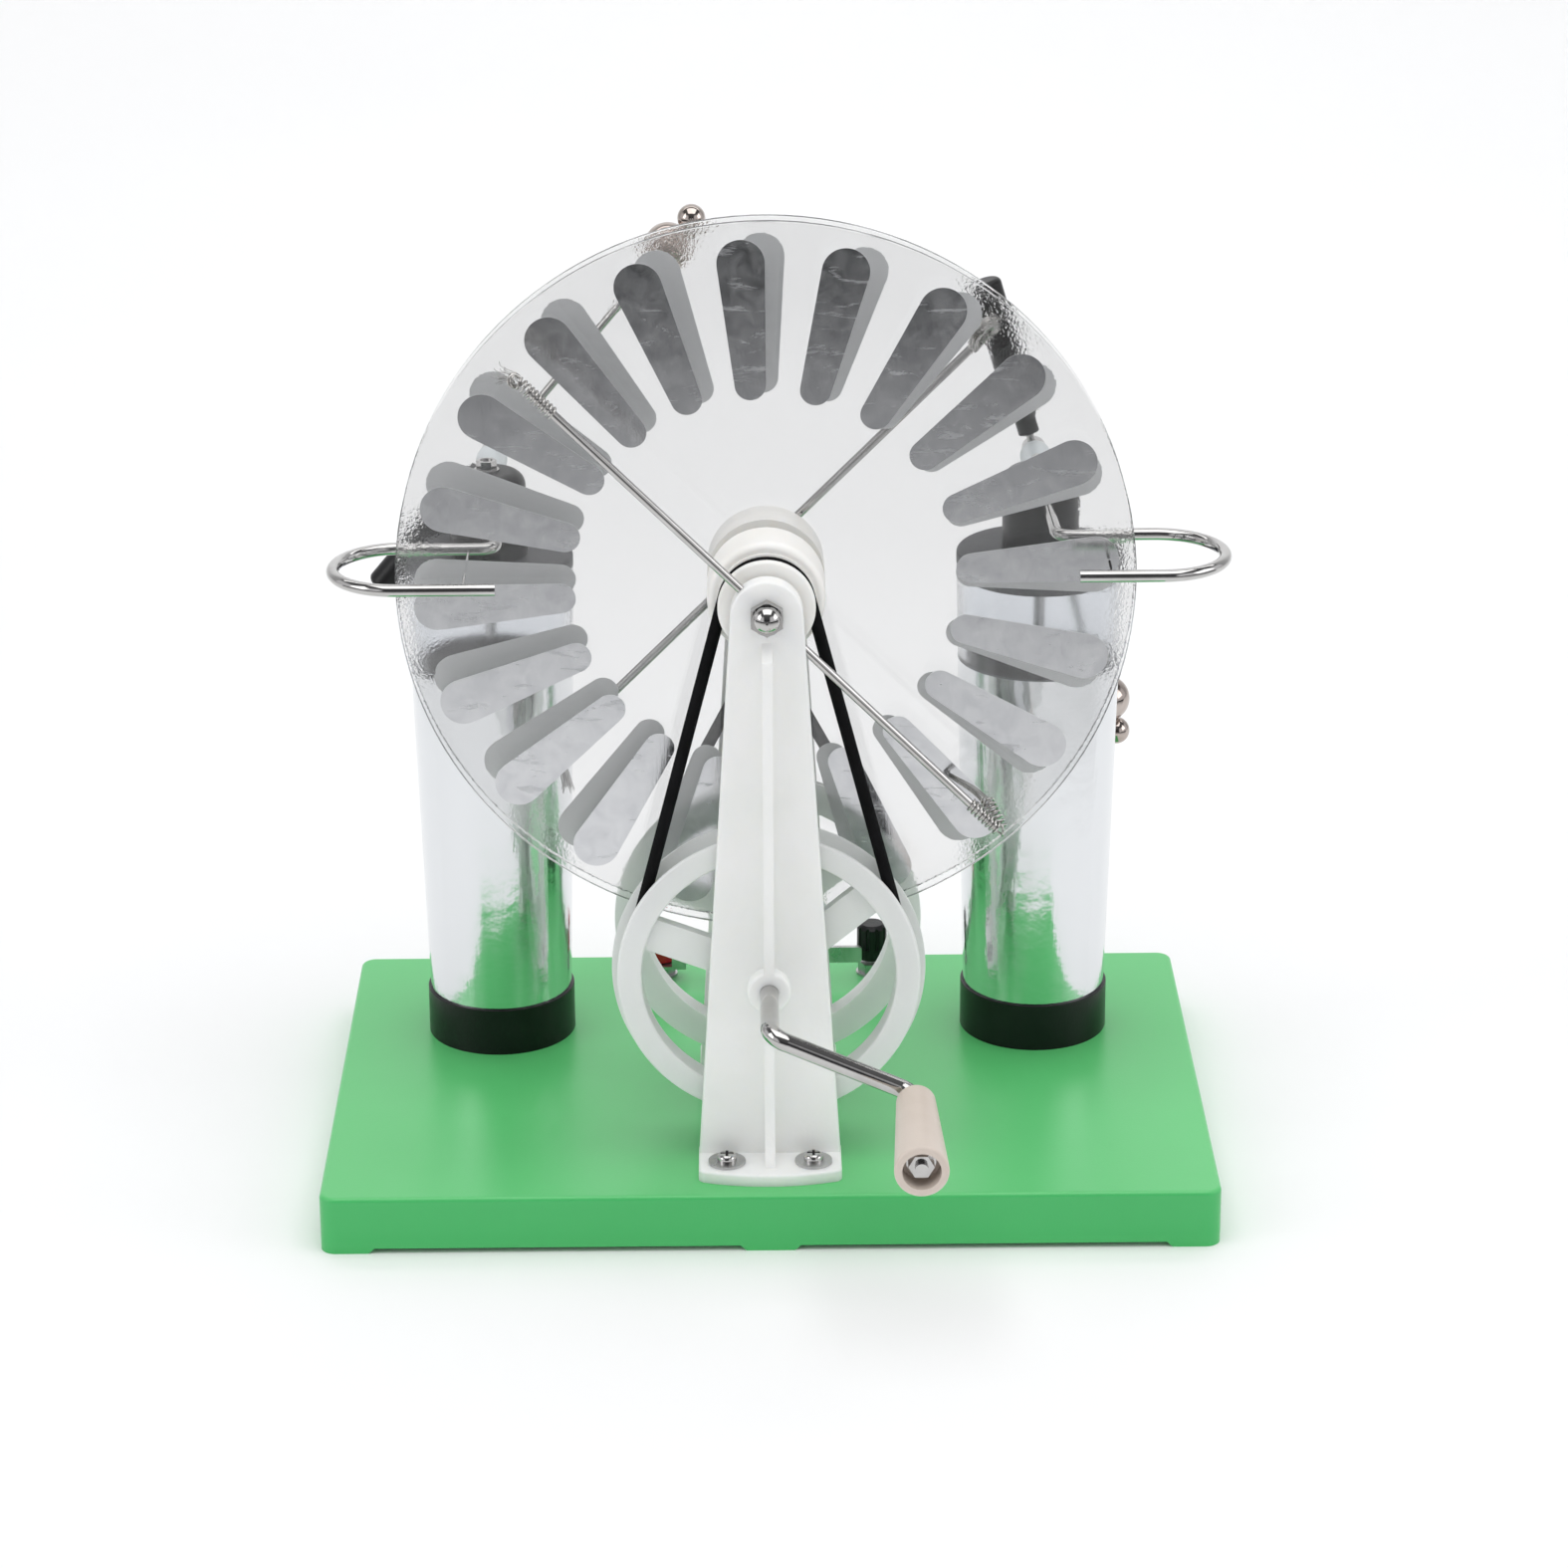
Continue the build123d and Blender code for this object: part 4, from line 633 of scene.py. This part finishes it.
# The jars are tapered clear plastic cups with foil inside and out up to most of their height.
# The plastic is faintly milky above the foil.
jar_shadow = 0.1
jar_clear = finish("jar plastic", (243, 245, 248), 0.12, {"Transmission Weight": 1.0, "IOR": 1.46})
tree = jar_clear.node_tree
where = add(tree, "TexCoord")
skin = add(tree, "Group", {"Grain Scale": 300.0, "Flow Scale": 20.0}, node_tree=moulded_skin)
haze = add(tree, "MapRange", {"To Min": 0.08, "To Max": 0.22})
shade = add(tree, "MapRange", {"To Min": 1.0, "To Max": jar_shadow})
join(where, "Object", skin, "Vector")
join(skin, "Flow", haze, "Value")
join(haze, "Result", shader_of(jar_clear), "Roughness")
join(light_rays(tree), "Value", shade, "Value")
join(shade, "Result", shader_of(jar_clear), "Alpha")
coat(jar_clear, "left_jar_cup", "right_jar_cup")


# The jars' foil is thin bright aluminium, smoothed on by hand, so it has long soft creases.
# It mirrors the green tray near the bottom.
crease_depth = 0.0008
jar_foil = finish("bright jar foil", (229, 231, 233), 0.13, {"Metallic": 1.0})
tree = jar_foil.node_tree
where = add(tree, "TexCoord")
drawn_out = add(tree, "Mapping", {"Scale": (1.0, 1.0, 0.10)})
crease = add(tree, "TexNoise", {"Scale": 130.0, "Detail": 4.0, "Distortion": 0.6})
dimple = add(tree, "TexNoise", {"Scale": 95.0, "Detail": 3.0})
uneven = add(tree, "Math", operation="ADD")
relief = add(tree, "Bump", {"Strength": 0.35, "Distance": crease_depth})
dull = add(tree, "MapRange", {"To Min": 0.08, "To Max": 0.22})
join(where, "Object", drawn_out, "Vector")
join(drawn_out, "Vector", crease, "Vector")
join(where, "Object", dimple, "Vector")
join(crease, "Fac", uneven, 0)
join(dimple, "Fac", uneven, 1)
join(uneven, "Value", relief, "Height")
join(relief, "Normal", shader_of(jar_foil), "Normal")
join(crease, "Fac", dull, "Value")
join(dull, "Result", shader_of(jar_foil), "Roughness")
coat(jar_foil, "left_outer_foil", "right_outer_foil", "inner_foils")


# A spring of tinsel wire is pushed on both ends of each brush rod, and bends over to the disc.
# Its end is frayed into fine strands that just clear the foil sectors.
middle_y = -0.037
rod_reach = 0.034
rod_tilt = math.radians(45)
wire_radius = 0.00036
coil_radius = 0.00195
strand_radius = 0.00012
strand_count = 22
strand_gap = 0.0004
strand_root_points = 4
strand_root_spread = 0.8
points_a_turn = 16
rod_points_a_turn = 4
tail_steps = 24
strand_steps = 10
leave_rod_by = 0.007
spring_in_by = 0.006
spring_share = 0.2
strand_pull = 0.9
strand_land_by = 0.004
strand_land_fray = 0.4
tinsel = finish("tinsel wire", (206, 205, 203), 0.15, {"Metallic": 1.0})
marked(
    tinsel, light=(216, 215, 213), dark=(168, 165, 161),
    hair=900.0, smear=300.0, bump=0.2, roughness=(0.08, 0.2),
)
random.seed(7)


def smooth_run(start, leaving, arriving, end, steps):
    """Points of a smooth bend from one place to another, with the pull at both ends given."""
    run = []
    for i in range(steps + 1):
        t = i / steps
        u = 1 - t
        pulled_out = 3 * u * u * t * (start + leaving)
        pulled_in = 3 * u * t * t * (end - arriving)
        run.append(u ** 3 * start + pulled_out + pulled_in + t ** 3 * end)
    return run


def coiled(run, pitch, radius, aside):
    """Points of a wire that coils round a run of points, one turn for each pitch."""
    coil = []
    turned = 0.0
    for here, ahead in zip(run, run[1:]):
        way = (ahead - here).normalized()
        aside = (aside - way * aside.dot(way)).normalized()
        steps = max(1, round((ahead - here).length / pitch * points_a_turn))
        for i in range(steps):
            angle = 2 * math.pi * turned
            around = aside * math.cos(angle) + way.cross(aside) * math.sin(angle)
            coil.append(here.lerp(ahead, i / steps) + around * radius)
            turned += (ahead - here).length / pitch / steps
    return coil


def wires(name, lines, radii):
    """Round wires through lists of points, made into one mesh with closed ends on the frame."""
    curve = bpy.data.curves.new(name, "CURVE")
    curve.dimensions = "3D"
    curve.bevel_depth = 1.0
    curve.bevel_resolution = 1
    curve.use_fill_caps = True
    for points, radius in zip(lines, radii):
        spline = curve.splines.new("POLY")
        spline.points.add(len(points) - 1)
        for point, spot in zip(spline.points, points):
            point.co = (*spot, 1)
            point.radius = radius
    holder = bpy.data.objects.new(name + " line", curve)
    mesh = bpy.data.meshes.new_from_object(holder)
    bpy.data.objects.remove(holder)
    for face in mesh.polygons:
        face.use_smooth = True
    mesh.materials.append(tinsel)
    piece = bpy.data.objects.new(name, mesh)
    scene.collection.objects.link(piece)
    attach(piece, "frame")
    return piece


def tinsel_brush(side, end, name, start, pitch, turns, coil_end, bend, tip, fray):
    """One brush: places are given outwards along the rod, in towards the disc, and across both."""
    outward = Vector((side * math.cos(rod_tilt), 0, math.sin(rod_tilt))) * end
    inward = Vector((0, -side, 0))
    across = outward.cross(inward)
    centre = Vector((0, middle_y + side * rod_reach, axle_z))

    def at(out, in_by, over):
        return centre + outward * out + inward * in_by + across * over

    rod_points = int(turns * rod_points_a_turn) + 1
    on_rod = [at(start + pitch * i / rod_points_a_turn, 0, 0) for i in range(rod_points)]
    bend_way = (at(*coil_end) - on_rod[-1]) * spring_share + inward * spring_in_by - outward * bend
    tail = smooth_run(on_rod[-1], outward * leave_rod_by, bend_way, at(*coil_end), tail_steps)
    lines = [coiled(on_rod + tail[1:], pitch, coil_radius, across)]
    radii = [wire_radius] + [strand_radius] * strand_count
    for _ in range(strand_count):
        aside = across * random.uniform(-1, 1) + outward * random.uniform(-1, 1)
        root = tail[-strand_root_points] + aside * coil_radius * strand_root_spread
        drop = at(tip[0], tip[1] - random.uniform(0, strand_gap), tip[2]) + aside * fray
        landing = inward * strand_land_by + aside * fray * strand_land_fray
        lines.append(smooth_run(root, bend_way * strand_pull, landing, drop, strand_steps))
    return wires(name, lines, radii)


front_brush = tinsel_brush(
    -1, 1, "front_upper_brush", start=0.0920, pitch=0.0015, turns=7.5,
    coil_end=(0.1065, 0.0100, 0.0025), bend=0.0, tip=(0.1077, 0.0291, 0.0096), fray=0.0036,
)
tinsel_brush(
    -1, -1, "front_lower_brush", start=0.0905, pitch=0.0016, turns=6.5,
    coil_end=(0.0959, 0.0090, 0.0025), bend=0.004, tip=(0.0865, 0.0291, -0.0047), fray=0.0008,
)
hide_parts("front_brushes")
rear_brush = tinsel_brush(
    1, 1, "rear_upper_brush", start=0.0938, pitch=0.00098, turns=7,
    coil_end=(0.0995, 0.0090, -0.0046), bend=0.003, tip=(0.0980, 0.0291, -0.0060), fray=0.0012,
)
tinsel_brush(
    1, -1, "rear_lower_brush", start=0.0914, pitch=0.00110, turns=8,
    coil_end=(0.0980, 0.0100, -0.0030), bend=0.001, tip=(0.0975, 0.0291, -0.0060), fray=0.0020,
)
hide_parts("rear_brushes")
